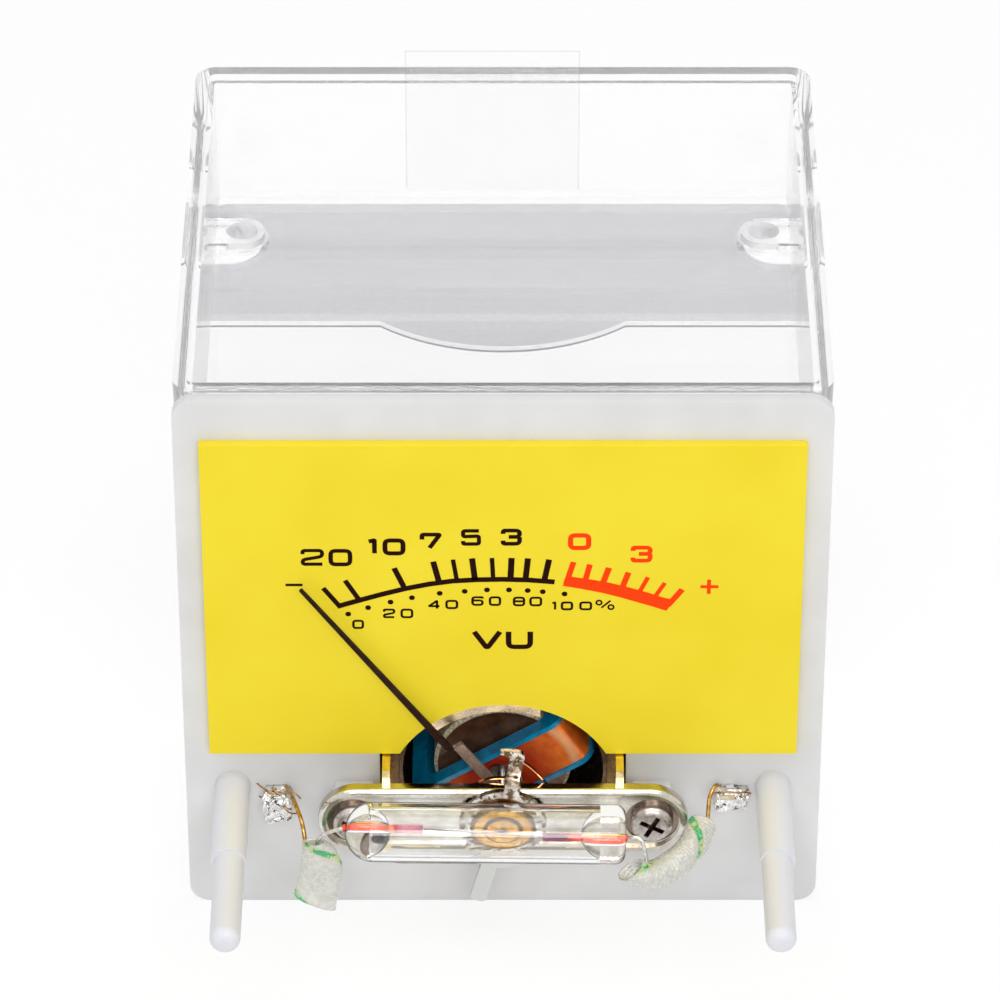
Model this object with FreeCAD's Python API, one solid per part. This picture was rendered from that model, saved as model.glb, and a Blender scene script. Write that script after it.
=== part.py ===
"""Panel VU meter, opened for service: the clear front cover is off and lies behind the top edge of the base.

Millimetres. +X is right, +Z is up and the dial faces -Y.
The origin is midway between the two locating studs, on the front face of the base plate.
"""
import FreeCAD, Part
import math
import os

V = FreeCAD.Vector
X_AXIS = V(1, 0, 0)
Y_AXIS = V(0, 1, 0)
Z_AXIS = V(0, 0, 1)

# ---------------------------------------------------------------- driving dimensions
# base plate, a white moulding whose front face is the plane y = 0
PLATE_W = 65.0
PLATE_H = 63.6
PLATE_T = 1.2
PLATE_TOP_R = 2.2
PLATE_BOTTOM_R = 2.1
PLATE_BOTTOM = -15.4            # bottom edge, below the studs' line

# locating studs: a stout root that carries the cover, then an eccentric pin that goes through it
STUD_INSET = 4.9                # from the plate's side to the pin's axis
STUD_R = 1.55
STUD_LENGTH = 25.2
STUD_TIP_ROUND = 0.7            # share of the pin's radius
STUD_ROOT_R = 1.8
STUD_ROOT_LENGTH = 12.5
STUD_ROOT_OFFSET = 0.1          # the root's axis lies this far outside the pin's
STUD_SINK = 0.5                 # studs and bosses are joined this deep into the plate

# moving-coil axis, which runs along Y
PIVOT_Z = -1.0

# dial
DIAL_SIDE_MARGIN = 2.6
DIAL_TOP_MARGIN = 4.75
DIAL_T = 1.0
DIAL_BOTTOM = 4.9
DIAL_CUT_R = 11.9
DIAL_CUT_RISE = 0.3             # the cut's centre lies this far above the pivot

# core magnet on its strap
CORE_R = 7.1
CORE_FRONT = 4.7
CORE_CHAMFER = 0.4
STRAP_W = 5.0
STRAP_T = 0.8
STRAP_OVERLAP = 1.4             # how far its upper end lies on the yoke's rear rim
STRAP_ROUND = 0.24              # share of the strap's width
STRAP_FOOT_HALF_W = 8.2
STRAP_FOOT_H = 0.7

# moving coil: a flanged former with its winding, turned to its place at rest
REST_TURN = -36.0               # pointer's turn from upright, positive clockwise seen from the front
COIL_TURN = -32.8               # the coil isn't glued quite square to its pointer
CORE_GAP = 0.3                  # air between the core and the coil's inside
COIL_WALL = 1.8
COIL_HALF_WIDTH = 3.05
COIL_FRONT = 2.5
COIL_STRAP_GAP = 0.5            # air between the strap and the coil's rear leg
FLANGE_T = 0.5
WINDING_INSET = 0.25            # the winding lies this far below the flanges' rims
COIL_CORNER_R = 1.6
COIL_INNER_CORNER_R = 0.3
WEB_T = 0.3

# iron yoke round the coil, measured from the pivot
BORE_GAP = 0.65                 # air between the coil's corners and the yoke's bore
YOKE_WALL = 1.15
YOKE_UP = 13.0
YOKE_DOWN = 9.2
YOKE_CORNER_R = 6.0
YOKE_GAP_HALF_W = 6.5           # the yoke is open below, like a horseshoe
YOKE_FRONT = 0.3                # y of the front rim
YOKE_REAR = 14.9
RIM_SIDE = 0.8                  # the pocket in the yoke's front leaves these rims
RIM_TOP = 2.1
RIM_BOTTOM = 1.0
RELIEF_DEPTH = 3.4
LIP_RIGHT = 3.8                 # the lip left at the top of the pocket ends upright here on the right
LIP_LEFT = 131.0                # and along this line from the pivot on the left, degrees from +X

# sheet frame that ties the yoke, the front bridge and the rear bearing together
FRAME_T = 0.8
FRAME_UP = 5.7
FRAME_DOWN = 6.0
FRAME_BEND = 0.9                # share of the sheet's thickness
REAR_BAR_GAP = 2.1              # from the coil's rear to the rear bar
REAR_BAR_STEP = 1.2             # the rear bar is this much lower than the cheeks

# arbor and bearings
ARBOR_R = 0.6
PIVOT_R = 0.3
PIVOT_LENGTH = 1.0
PIVOT_DEPTH = 0.2               # a pivot's tip lies this deep in its bearing screw
RUNNING_FIT = 0.05
COLLET_WALL = 0.55
COLLET_LENGTH = 0.7
HUB_R = 2.0
HUB_T = 0.5

# front bridge: a pressed obround plate on two bosses of the base
BRIDGE_END = 3.7                # from a screw's axis to the bridge's end
BRIDGE_W = 8.2
BRIDGE_T = 1.3
BRIDGE_BACK = -3.6
BRIDGE_EDGE_R = 0.55
BRIDGE_RIM = 0.8                # the raised rim that the pressing leaves all round
BRIDGE_SINK = 0.35
BRIDGE_BOSS_GAP = 0.25          # the nut's seat is this much wider than the nut
BOSS_WALL = 1.15
BOSS_FLAT = 1.5                 # a boss is flat on top, this far above its screw
BOSS_GAP = 0.2                  # from a boss to the well's edge
SCREW_HEAD_R = 2.2
SCREW_HEAD_H = 1.3
SCREW_HEAD_ROUND = 0.6          # share of the head's height
SCREW_SHANK_R = 1.25
SCREW_REACH = 5.0               # shank below the head
SCREW_TIP_AIR = 0.5             # air below the shank's tip
SCREW_HOLE_CLEARANCE = 0.2
SCREW_RECESS_GAP = 0.55         # the bridge's recess round the head
SCREW_RECESS_DEPTH = 0.5
CROSS_HALF_L = 1.35
CROSS_HALF_W = 0.27
CROSS_DEPTH = 0.8
CROSS_TURN = 28.0
THREAD_CLEARANCE = 0.02

# bearing screws and their lock nuts
JEWEL_R = 1.85
NUT_WALL = 1.45
NUT_T = 1.1
JEWEL_CLEARANCE = 0.03
JEWEL_SLOT_W = 0.5
JEWEL_SLOT_DEPTH = 0.4
JEWEL_STANDS = 0.35             # the bearing screw stands this far out of its nut
FRONT_SLOT_TURN = 20.0
REAR_SLOT_TURN = 65.0

# hairsprings
SPRING_OUTER_R = 5.7
SPRING_STRIP = 0.12
SPRING_HEIGHT = 0.4
SPRING_TURNS = 3.5
SPRING_STEPS = 12               # points to a turn
SPRING_FLARE = 1.5              # the front spring's outer end rises this much to the adjuster's finger
FLARE_ANGLE = 60.0              # over this many degrees
FRONT_SPRING_GAP = 0.3          # from the bridge's back to the strip
REAR_SPRING_GAP = 0.8           # from the coil's rear to the strip

# pointer, measured from the pivot
POINTER_LENGTH = 34.3
POINTER_ROOT = 9.0
POINTER_TIP_W = 0.32
POINTER_ROOT_W = 0.75
POINTER_T = 0.35
POINTER_GAP = 0.5               # from the front spring to the pointer
HOLDER_W = 1.1
HOLDER_T = 0.3
HOLDER_EYE_R = 1.2              # round eye of the strip on the arbor
HOLDER_GAP = 0.35               # air between the strip and the yoke's front
HOLDER_REACH = 8.0              # here the strip bends forward
LEG_REACH = 9.3                 # and here its leg meets the pointer
TAIL_REACH = 6.4
WEIGHT_R = 1.0
WEIGHT_LENGTH = 2.3
WEIGHT_PLACE = 5.3

# zero adjuster: a ring round the front nut with an arm above and a tail below
ADJUSTER_T = 0.6
ADJUSTER_RIM = 1.09
ADJUSTER_CLEARANCE = 0.06
ADJUSTER_TURN = 11.0
ARM_W = 1.6
ARM_PAST_SPRING = 2.7           # the finger reaches this far past the spring
ARM_HOLE_R = 0.28
ARM_HOLE_DROP = 1.0
ARM_CLEARANCE = 0.6             # air between the arm and the bridge's upper edge
FINGER_SHARE = 0.9              # of the arm's width
FINGER_ROUND = 0.6              # radius of the finger's upper right corner
HOOK_REACH = 1.1                # past the finger's left side
HOOK_ROOT_H = 0.8
HOOK_TIP_H = 0.25
HOOK_TIP_DROP = 0.25
TAIL_W = 1.7
TAIL_LENGTH = 10.2
TAIL_LEAN = 4.0                 # degrees, to the left of the arm's line
TAIL_ROUND = 0.55               # share of the tail's half width
SHOULDER_R = 5.5                # round shoulder at the tail's root
SHOULDER_HALF_W = 3.1

# wire-ended tube lamp across the bridge
LAMP_LENGTH = 28.4
LAMP_R = 3.05
LAMP_WALL = 0.45
LAMP_SEAL = {-1: 2.7, 1: 2.6}   # from each end to where the bead meets the tube
LAMP_BEAD = 1.9                 # the bead stands this far into the tube
LAMP_DOME = {-1: 0.95, 1: 0.35} # share of the radius
LAMP_X = -1.8
LAMP_GAP = 0.2                  # air between the glass and the bearing screw
LAMP_RISE = 2.5                 # above the pivot
LAMP_TILT = 0.8                 # degrees, right end down
LEAD_R = 0.42
LEAD_CLEARANCE = 0.01
LEAD_STANDS = 0.2               # a sealed lead stands this far out of the glass
LEAD_RISE = {-1: 0.45, 1: -0.45}    # the leads aren't quite in the tube's middle
LEFT_LEAD_LENGTH = 5.2
RIGHT_LEAD_LENGTH = 6.0
LEFT_BLADE_LENGTH = 2.9
RIGHT_BLADE_LENGTH = 2.6
BLADE_W = 0.9
BLADE_T = 0.3
BLADE_LAP = 0.3                 # the blade is joined this deep into its lead
FILAMENT_R = 0.08
LAMP_WIRE_R = 0.2

# braided sleeves over the lamp's joints
SLEEVE_R = 1.6
SLEEVE_FLAT_T = 1.8
SLEEVE_CORNER_R = 0.5
FEED_WIRE_R = 0.22
FEED_START_IN = 0.8
FEED_START_OUT = 1.2
FEED_START_UP = 1.2

# lamp terminals through the base, with solder round their front ends
TERMINAL_GAP = 4.1              # from the bridge's tip to a terminal
TERMINAL_Z = -0.4
TERMINAL_W = 1.6
TERMINAL_T = 0.5
TERMINAL_FRONT = 1.7
TERMINAL_REAR = 7.0
EYE_R = 0.5
EYE_END_WALL = 0.4
SOLDER_CORNER_R = 0.5

# signal terminals through the floor of the rear housing
SIGNAL_X = 8.0
SIGNAL_BELOW_FRAME = 2.2
SIGNAL_REAR = 6.5
SIGNAL_INSIDE = 2.4
SIGNAL_WIRE_R = 0.15
ANCHOR_W = 0.8
ANCHOR_CLEARANCE = 0.02
ANCHOR_FRONT = 0.2              # the anchor stands this far before the rear spring

# rear housing, moulded with the base round the movement
HOUSING_WALL = 1.4
HOUSING_FLOOR = 1.5
HOUSING_GAP = 0.3

# clear cover, drawn closed and then laid behind the plate
COVER_SHORT = 3.9               # the cover is this much lower than the plate
COVER_DEPTH = 16.0
COVER_WALL = 1.9
COVER_FLOOR = 2.0
COVER_DRAFT = 0.3
COVER_EDGE_R = 0.6
RIM_STEP = 0.5
RIM_STEP_DEPTH = 0.8
EAR_WALL = 0.75
EAR_HEIGHT = 0.8
EAR_SINK = 0.5                  # the ears are joined this deep into the floor
EAR_CLEARANCE = 0.12
COVER_GAP = 0.1                 # air between the laid cover and the plate
COVER_LIFT = 0.3                # the laid cover's rim stands this far above the plate

# mask on the front of the cover
MASK_SIDE_MARGIN = 1.0
MASK_H = 22.2
MASK_T = 0.8
MASK_MARGIN = 3.7
MASK_TOP_R = 0.6
MASK_BOTTOM_R = 2.4
MASK_BUMP_R = 20.0
NOTCH_W = 7.5
NOTCH_LENGTH = 6.0

# clear tape on the cover's lower wall
TAPE_W = 18.6
TAPE_T = 0.1
TAPE_X = -1.1
TAPE_LAP = 15.5
TAPE_OVERHANG = 2.0

# ---------------------------------------------------------------- what follows from them
PLATE_TOP = PLATE_BOTTOM + PLATE_H
STUD_X = PLATE_W / 2 - STUD_INSET
DIAL_HALF_W = PLATE_W / 2 - DIAL_SIDE_MARGIN
DIAL_TOP = PLATE_TOP - DIAL_TOP_MARGIN

COIL_INNER = CORE_R + CORE_GAP
COIL_HALF_LENGTH = COIL_INNER + COIL_WALL
COIL_REAR = YOKE_REAR + STRAP_T + COIL_STRAP_GAP + COIL_WALL
YOKE_BORE_R = math.hypot(COIL_HALF_LENGTH, COIL_HALF_WIDTH) + BORE_GAP
YOKE_HALF_W = YOKE_BORE_R + YOKE_WALL

FRAME_OUT = YOKE_HALF_W + FRAME_T
REAR_BAR_Y = COIL_REAR + REAR_BAR_GAP
REAR_BAR_BACK = REAR_BAR_Y + FRAME_T
REAR_NUT_BACK = REAR_BAR_BACK + NUT_T

WELL_HALF_W = FRAME_OUT + HOUSING_GAP
WELL_UP = YOKE_UP + HOUSING_GAP
WELL_DOWN = YOKE_DOWN + HOUSING_GAP
WELL_FLOOR = REAR_NUT_BACK + JEWEL_STANDS + HOUSING_GAP
HOUSING_BACK = WELL_FLOOR + HOUSING_FLOOR

BOSS_R = SCREW_SHANK_R + BOSS_WALL
SCREW_X = WELL_HALF_W + BOSS_GAP + BOSS_R
SCREW_RECESS_R = SCREW_HEAD_R + SCREW_RECESS_GAP
BRIDGE_TIP_X = SCREW_X + BRIDGE_END
BRIDGE_FRONT = BRIDGE_BACK - BRIDGE_T
NUT_R = JEWEL_R + NUT_WALL
NUT_FRONT = BRIDGE_FRONT - NUT_T
JEWEL_FRONT = NUT_FRONT - JEWEL_STANDS
FRONT_PIVOT_TIP = BRIDGE_BACK - PIVOT_DEPTH
REAR_PIVOT_TIP = REAR_BAR_Y + PIVOT_DEPTH

COLLET_R = ARBOR_R + COLLET_WALL
FRONT_SPRING_Y = BRIDGE_BACK + FRONT_SPRING_GAP
REAR_SPRING_Y = COIL_REAR + REAR_SPRING_GAP
POINTER_Y = FRONT_SPRING_Y + SPRING_HEIGHT + POINTER_GAP
ADJUSTER_R = NUT_R + ADJUSTER_CLEARANCE + ADJUSTER_RIM
ARM_TOP = SPRING_OUTER_R + ARM_PAST_SPRING

LAMP_Y = JEWEL_FRONT - LAMP_GAP - LAMP_R
LAMP_Z = PIVOT_Z + LAMP_RISE
TERMINAL_X = BRIDGE_TIP_X + TERMINAL_GAP
SIGNAL_Z = PIVOT_Z - FRAME_DOWN - SIGNAL_BELOW_FRAME

COVER_BOTTOM = PLATE_BOTTOM + COVER_SHORT
EAR_R = STUD_R + EAR_CLEARANCE + EAR_WALL
MASK_HALF_W = PLATE_W / 2 - MASK_SIDE_MARGIN

# routes laid by hand, as steps from a sealed lead's end; a feed wire's first step is from its own start,
# and in the two right-hand lists that pass the bridge, x is measured from the bridge's tip
LAMP_WIRE_STEPS = {
    -1: [V(-1.3, 0, 0.0), V(-2.5, 0, -0.8), V(-2.8, 0, -2.8)],
    1: [V(1.3, -0.1, -0.2), V(1.9, -0.8, -1.8), V(2.0, -1.5, -3.6)],
}
FEED_WIRE_FIRST = {-1: V(0.8, -3.2, 1.1), 1: V(-0.5, -1.0, 1.0)}
LEFT_FEED_STEPS = [V(-4.1, 1.4, 0.0), V(-3.7, 0.0, -2.7)]
RIGHT_FEED_PAST_BRIDGE = [V(2.2, 6.7, -0.4), V(1.9, 4.0, -2.5)]
FLAT_SLEEVE_CORNERS = [(-4.3, -1.0), (-5.3, -8.6), (-0.4, -10.2), (-0.1, -4.3), (-2.0, -1.6)]
ROUND_SLEEVE_STEPS = [V(0.4, -1.6, -3.3), V(3.0, -1.8, -3.9)]
ROUND_SLEEVE_PAST_BRIDGE = [V(0.0, 0.6, -3.3), V(1.8, 4.8, -2.4)]

parts = {}


# ---------------------------------------------------------------- helpers
def keep(name, *shapes):
    """Adds a node that holds one or more separate solids."""
    solids = []
    for shape in shapes:
        solids.extend(shape.Solids)
    parts[name] = solids[0] if len(solids) == 1 else Part.Compound(solids)


def block(x0, x1, y0, y1, z0, z1):
    return Part.makeBox(x1 - x0, y1 - y0, z1 - z0, V(x0, y0, z0))


def rod_y(radius, y0, y1, x=0.0, z=PIVOT_Z):
    """A round bar along Y from y0 to y1."""
    return Part.makeCylinder(radius, y1 - y0, V(x, y0, z), Y_AXIS)


def rod_x(radius, x0, x1, y, z):
    return Part.makeCylinder(radius, x1 - x0, V(x0, y, z), X_AXIS)


def corner(x, z, radius, start, y):
    """A quarter-round edge about (x, z) that runs anticlockwise from start degrees."""
    points = []
    for step in (0.0, 45.0, 90.0):
        angle = math.radians(start + step)
        points.append(V(x + radius * math.cos(angle), y, z + radius * math.sin(angle)))
    return Part.Arc(*points).toShape()


def rounded_outline(x0, x1, z0, z1, r_top, r_bottom, y):
    """A closed wire in the plane y: a rectangle with its own radius above and below."""
    arcs = [
        corner(x1 - r_top, z1 - r_top, r_top, 0, y),
        corner(x0 + r_top, z1 - r_top, r_top, 90, y),
        corner(x0 + r_bottom, z0 + r_bottom, r_bottom, 180, y),
        corner(x1 - r_bottom, z0 + r_bottom, r_bottom, 270, y),
    ]
    edges = []
    for here, following in zip(arcs, arcs[1:] + arcs[:1]):
        edges.append(here)
        end = here.valueAt(here.LastParameter)
        start = following.valueAt(following.FirstParameter)
        if (end - start).Length > 1e-6:
            edges.append(Part.makeLine(end, start))
    return Part.Wire(edges)


def slab(outline, thickness):
    """Extrudes a flat closed outline along +Y."""
    return Part.Face(outline).extrude(V(0, thickness, 0))


def rounded_slab(x0, x1, z0, z1, r_top, r_bottom, y0, y1):
    return slab(rounded_outline(x0, x1, z0, z1, r_top, r_bottom, y0), y1 - y0)


def outline_through(points, y):
    """A closed wire of straight runs through (x, z) points in the plane y."""
    corners = [V(x, y, z) for x, z in points]
    return Part.makePolygon(corners + corners[:1])


def turned(shape, degrees):
    """Turns a shape about the pivot axis, positive clockwise seen from the front."""
    moved = shape.copy()
    moved.rotate(V(0, 0, PIVOT_Z), Y_AXIS, degrees)
    return moved


def obround(length, width, y0, y1, z):
    """A plate along X with half-round ends."""
    half = (length - width) / 2
    radius = width / 2
    right = Part.Arc(V(half, y0, z - radius), V(half + radius, y0, z), V(half, y0, z + radius)).toShape()
    left = Part.Arc(V(-half, y0, z + radius), V(-half - radius, y0, z), V(-half, y0, z - radius)).toShape()
    top = Part.makeLine(V(half, y0, z + radius), V(-half, y0, z + radius))
    bottom = Part.makeLine(V(-half, y0, z - radius), V(half, y0, z - radius))
    return slab(Part.Wire([right, top, left, bottom]), y1 - y0)


def edges_on_plane(shape, y):
    """The edges of a shape that lie wholly in the plane y."""
    found = []
    for edge in shape.Edges:
        box = edge.BoundBox
        if abs(box.YMin - y) < 1e-4 and abs(box.YMax - y) < 1e-4:
            found.append(edge)
    return found


def bent_wire(radius, points):
    """A round wire along straight runs joined by tangent arcs."""
    edges = []
    start = points[0]
    for before, here, after in zip(points, points[1:], points[2:]):
        run_in = here - before
        run_out = after - here
        turn = run_in.getAngle(run_out)
        setback = 0.45 * min(run_in.Length, run_out.Length)
        unit_in = V(run_in).normalize()
        unit_out = V(run_out).normalize()
        arc_start = here - unit_in * setback
        arc_end = here + unit_out * setback
        bend_radius = setback / math.tan(turn / 2)
        to_centre = (unit_out - unit_in).normalize()
        centre = here + to_centre * (bend_radius / math.cos(turn / 2))
        arc_middle = centre - to_centre * bend_radius
        edges.append(Part.makeLine(start, arc_start))
        edges.append(Part.Arc(arc_start, arc_middle, arc_end).toShape())
        start = arc_end
    edges.append(Part.makeLine(start, points[-1]))
    path = Part.Wire(edges)
    circle = Part.Wire([Part.makeCircle(radius, points[0], points[1] - points[0])])
    return path.makePipeShell([circle], True, False, 2)


# ---------------------------------------------------------------- base plate
def well(grow, y0, y1):
    """The hollow round the movement, or with grow its outer wall."""
    return rounded_slab(
        -WELL_HALF_W - grow, WELL_HALF_W + grow,
        PIVOT_Z - WELL_DOWN - grow, PIVOT_Z + WELL_UP + grow,
        YOKE_CORNER_R + grow, YOKE_CORNER_R / 3 + grow, y0, y1)


def stud(side):
    """One locating stud: the stout root, the eccentric pin and its rounded tip."""
    root_x = side * (STUD_X + STUD_ROOT_OFFSET)
    root = rod_y(STUD_ROOT_R, -STUD_ROOT_LENGTH, STUD_SINK, root_x, 0)
    pin = rod_y(STUD_R, -STUD_LENGTH, STUD_SINK, side * STUD_X, 0)
    pin = pin.makeFillet(STUD_R * STUD_TIP_ROUND, edges_on_plane(pin, -STUD_LENGTH))
    return root.fuse(pin)


def base_plate():
    plate = rounded_slab(-PLATE_W / 2, PLATE_W / 2, PLATE_BOTTOM, PLATE_TOP,
                         PLATE_TOP_R, PLATE_BOTTOM_R, 0, PLATE_T)
    plate = plate.fuse(well(HOUSING_WALL, PLATE_T / 2, HOUSING_BACK))
    plate = plate.cut(well(0, -1, WELL_FLOOR))
    for side in (-1, 1):
        boss = rod_y(BOSS_R, BRIDGE_BACK, STUD_SINK, side * SCREW_X)
        above = block(side * SCREW_X - BOSS_R, side * SCREW_X + BOSS_R, BRIDGE_BACK - 1, 0,
                      PIVOT_Z + BOSS_FLAT, PIVOT_Z + BOSS_R + 1)
        plate = plate.fuse([stud(side), boss.cut(above)])
        plate = plate.cut(rod_y(SCREW_SHANK_R + THREAD_CLEARANCE, BRIDGE_BACK - 1,
                                BRIDGE_FRONT + SCREW_RECESS_DEPTH + SCREW_REACH + SCREW_TIP_AIR, side * SCREW_X))
        plate = plate.cut(terminal_bar(side * TERMINAL_X, TERMINAL_Z, -1, PLATE_T + 1))
        plate = plate.cut(terminal_bar(side * SIGNAL_X, SIGNAL_Z, WELL_FLOOR - 1, HOUSING_BACK + 1))
    return plate.removeSplitter()


def terminal_bar(x, z, y0, y1, eye=0):
    """A flat tinned lug along Y; eye is the radius of the hole near its rear end."""
    bar = block(x - TERMINAL_W / 2, x + TERMINAL_W / 2, y0, y1, z - TERMINAL_T / 2, z + TERMINAL_T / 2)
    if eye:
        hole = Part.makeCylinder(eye, 4 * TERMINAL_T, V(x, y1 - eye - EYE_END_WALL - eye, z - 2 * TERMINAL_T), Z_AXIS)
        bar = bar.cut(hole)
    return bar


# ---------------------------------------------------------------- dial and movement frame
def dial_plate():
    dial = block(-DIAL_HALF_W, DIAL_HALF_W, -DIAL_T, 0, DIAL_BOTTOM, DIAL_TOP)
    return dial.cut(rod_y(DIAL_CUT_R, -DIAL_T - 1, 1, 0, PIVOT_Z + DIAL_CUT_RISE))


def yoke():
    """Soft-iron horseshoe: a round bore, a wide pocket in front and a lip left over the coil."""
    corner_r = YOKE_CORNER_R
    body = rounded_slab(-YOKE_HALF_W, YOKE_HALF_W, PIVOT_Z - YOKE_DOWN, PIVOT_Z + YOKE_UP,
                        corner_r, corner_r / 3, YOKE_FRONT, YOKE_REAR)
    pocket = rounded_slab(-YOKE_HALF_W + RIM_SIDE, YOKE_HALF_W - RIM_SIDE,
                          PIVOT_Z - YOKE_DOWN + RIM_BOTTOM, PIVOT_Z + YOKE_UP - RIM_TOP,
                          corner_r - 1, corner_r / 3, YOKE_FRONT - 1, YOKE_FRONT + RELIEF_DEPTH)
    reach = 2 * YOKE_UP
    angle = math.radians(LIP_LEFT)
    wedge = slab(outline_through([
        (0, PIVOT_Z), (LIP_RIGHT, PIVOT_Z), (LIP_RIGHT, PIVOT_Z + reach),
        (reach * math.cos(angle), PIVOT_Z + reach), (reach * math.cos(angle), PIVOT_Z + reach * math.sin(angle)),
    ], YOKE_FRONT - 1), RELIEF_DEPTH + 1)
    pocket = pocket.cut(wedge)
    body = body.cut(pocket)
    gap = block(-YOKE_GAP_HALF_W, YOKE_GAP_HALF_W, YOKE_FRONT - 1, YOKE_REAR + 1,
                PIVOT_Z - YOKE_DOWN - 1, PIVOT_Z)
    return body.cut([gap, rod_y(YOKE_BORE_R, YOKE_FRONT - 1, YOKE_REAR + 1)]).removeSplitter()


def movement_frame():
    """One bent strip: two cheeks against the yoke's flats and a bar across the rear."""
    low = PIVOT_Z - FRAME_DOWN
    high = PIVOT_Z + FRAME_UP
    frame = block(-FRAME_OUT, FRAME_OUT, BRIDGE_BACK, REAR_BAR_BACK, low, high)
    frame = frame.cut(block(-YOKE_HALF_W, YOKE_HALF_W, BRIDGE_BACK - 1, REAR_BAR_Y, low - 1, high + 1))
    outer = [edge for edge in edges_on_plane(frame, REAR_BAR_BACK)
             if edge.BoundBox.XLength < 0.01]
    frame = frame.makeFillet(FRAME_T * FRAME_BEND, outer)
    frame = frame.cut(block(-FRAME_OUT - 1, FRAME_OUT + 1, REAR_BAR_Y, REAR_BAR_BACK + 1,
                            high - REAR_BAR_STEP, high + 1))
    return frame.cut(rod_y(JEWEL_R + JEWEL_CLEARANCE, REAR_BAR_Y - 1, REAR_BAR_BACK + 1))


def core_magnet():
    core = rod_y(CORE_R, CORE_FRONT, YOKE_REAR)
    return core.makeChamfer(CORE_CHAMFER, edges_on_plane(core, CORE_FRONT))


def core_strap():
    """Non-magnetic strap on the yoke's rear rim that carries the core."""
    back = YOKE_REAR + STRAP_T
    low = PIVOT_Z - YOKE_DOWN
    high = PIVOT_Z + YOKE_BORE_R + STRAP_OVERLAP
    strap = block(-STRAP_W / 2, STRAP_W / 2, YOKE_REAR, back, low, high)
    upper = [edge for edge in strap.Edges
             if edge.BoundBox.YLength > STRAP_T * 0.9 and edge.BoundBox.ZMin > PIVOT_Z]
    strap = strap.makeFillet(STRAP_W * STRAP_ROUND, upper)
    foot = block(-STRAP_FOOT_HALF_W, STRAP_FOOT_HALF_W, YOKE_REAR, back, low, low + STRAP_FOOT_H)
    return strap.fuse(foot).removeSplitter()


# ---------------------------------------------------------------- moving coil
def coil_loop(outset_length, inset_length, front, rear, half_width0, half_width1, corner_r):
    """A rectangular loop round the core, drawn with its long sides along X and the pivot upright."""
    def ring(half_length, y0, y1, radius):
        height = half_width1 - half_width0
        outer = block(-half_length, half_length, y0, y1, half_width0, half_width0 + height)
        upright = [edge for edge in outer.Edges if edge.BoundBox.ZLength > height * 0.9]
        return outer.makeFillet(radius, upright)
    outside = ring(outset_length, front, rear, corner_r)
    wall = outset_length - inset_length
    inside = ring(inset_length, front + wall, rear - wall, max(corner_r - wall, COIL_INNER_CORNER_R))
    return outside.cut(inside)


def on_pivot(shape):
    """Lifts a shape drawn round the Y axis to the pivot and turns it to the coil's place at rest."""
    moved = shape.copy()
    moved.translate(V(0, 0, PIVOT_Z))
    return turned(moved, COIL_TURN)


def coil_former():
    """Two flanges joined by a thin inner web."""
    low = coil_loop(COIL_HALF_LENGTH, COIL_INNER, COIL_FRONT, COIL_REAR,
                    -COIL_HALF_WIDTH, -COIL_HALF_WIDTH + FLANGE_T, COIL_CORNER_R)
    high = coil_loop(COIL_HALF_LENGTH, COIL_INNER, COIL_FRONT, COIL_REAR,
                     COIL_HALF_WIDTH - FLANGE_T, COIL_HALF_WIDTH, COIL_CORNER_R)
    start = COIL_WALL - WEB_T
    web = coil_loop(COIL_INNER + WEB_T, COIL_INNER, COIL_FRONT + start, COIL_REAR - start,
                    -COIL_HALF_WIDTH, COIL_HALF_WIDTH, COIL_CORNER_R)
    return on_pivot(low.fuse(high).fuse(web).removeSplitter())


def coil_winding():
    start = COIL_WALL - WEB_T
    return on_pivot(coil_loop(
        COIL_HALF_LENGTH - WINDING_INSET, COIL_HALF_LENGTH - start,
        COIL_FRONT + WINDING_INSET, COIL_REAR - WINDING_INSET,
        -COIL_HALF_WIDTH + FLANGE_T, COIL_HALF_WIDTH - FLANGE_T, COIL_CORNER_R))


def arbor(tip, seat, direction):
    """Half arbor: a glued foot on the coil, the arbor, the spring collet and the hard pivot."""
    def bar(radius, start, length):
        near = start
        far = start + direction * length
        return rod_y(radius, min(near, far), max(near, far))
    length = abs(tip - seat)
    shaft = bar(ARBOR_R, seat, length - PIVOT_LENGTH)
    pivot = bar(PIVOT_R, seat, length)
    foot = bar(HUB_R, seat, HUB_T)
    return shaft.fuse([pivot, foot]).removeSplitter()


def collet(spring_y):
    """Brass ring on the arbor that holds the spring's inner end."""
    centre = spring_y + SPRING_HEIGHT / 2
    ring = rod_y(COLLET_R, centre - COLLET_LENGTH / 2, centre + COLLET_LENGTH / 2)
    return ring.cut(rod_y(ARBOR_R, centre - COLLET_LENGTH, centre + COLLET_LENGTH))


def hairspring(y, end_angle, flare=0):
    """A flat spiral strip that ends at end_angle degrees from +X, its outer end raised by flare."""
    start_r = COLLET_R + SPRING_STRIP / 2
    pitch = (SPRING_OUTER_R - start_r) / SPRING_TURNS
    inner = []
    outer = []
    steps = int(SPRING_TURNS * SPRING_STEPS)
    for step in range(steps + 1):
        turns = step / SPRING_STEPS
        angle = math.radians(end_angle - 360 * (SPRING_TURNS - turns))
        rise = max(0, 1 - (SPRING_TURNS - turns) * 360 / FLARE_ANGLE)
        radius = start_r + pitch * turns + flare * rise ** 2
        for side, line in ((-0.5, inner), (0.5, outer)):
            reach = radius + side * SPRING_STRIP
            line.append(V(reach * math.cos(angle), y, PIVOT_Z + reach * math.sin(angle)))
    inner_edge = Part.BSplineCurve()
    inner_edge.interpolate(inner)
    outer_edge = Part.BSplineCurve()
    outer_edge.interpolate(outer)
    outline = Part.Wire([inner_edge.toShape(), Part.makeLine(inner[-1], outer[-1]),
                         outer_edge.toShape(), Part.makeLine(outer[0], inner[0])])
    return slab(outline, SPRING_HEIGHT)


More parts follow.
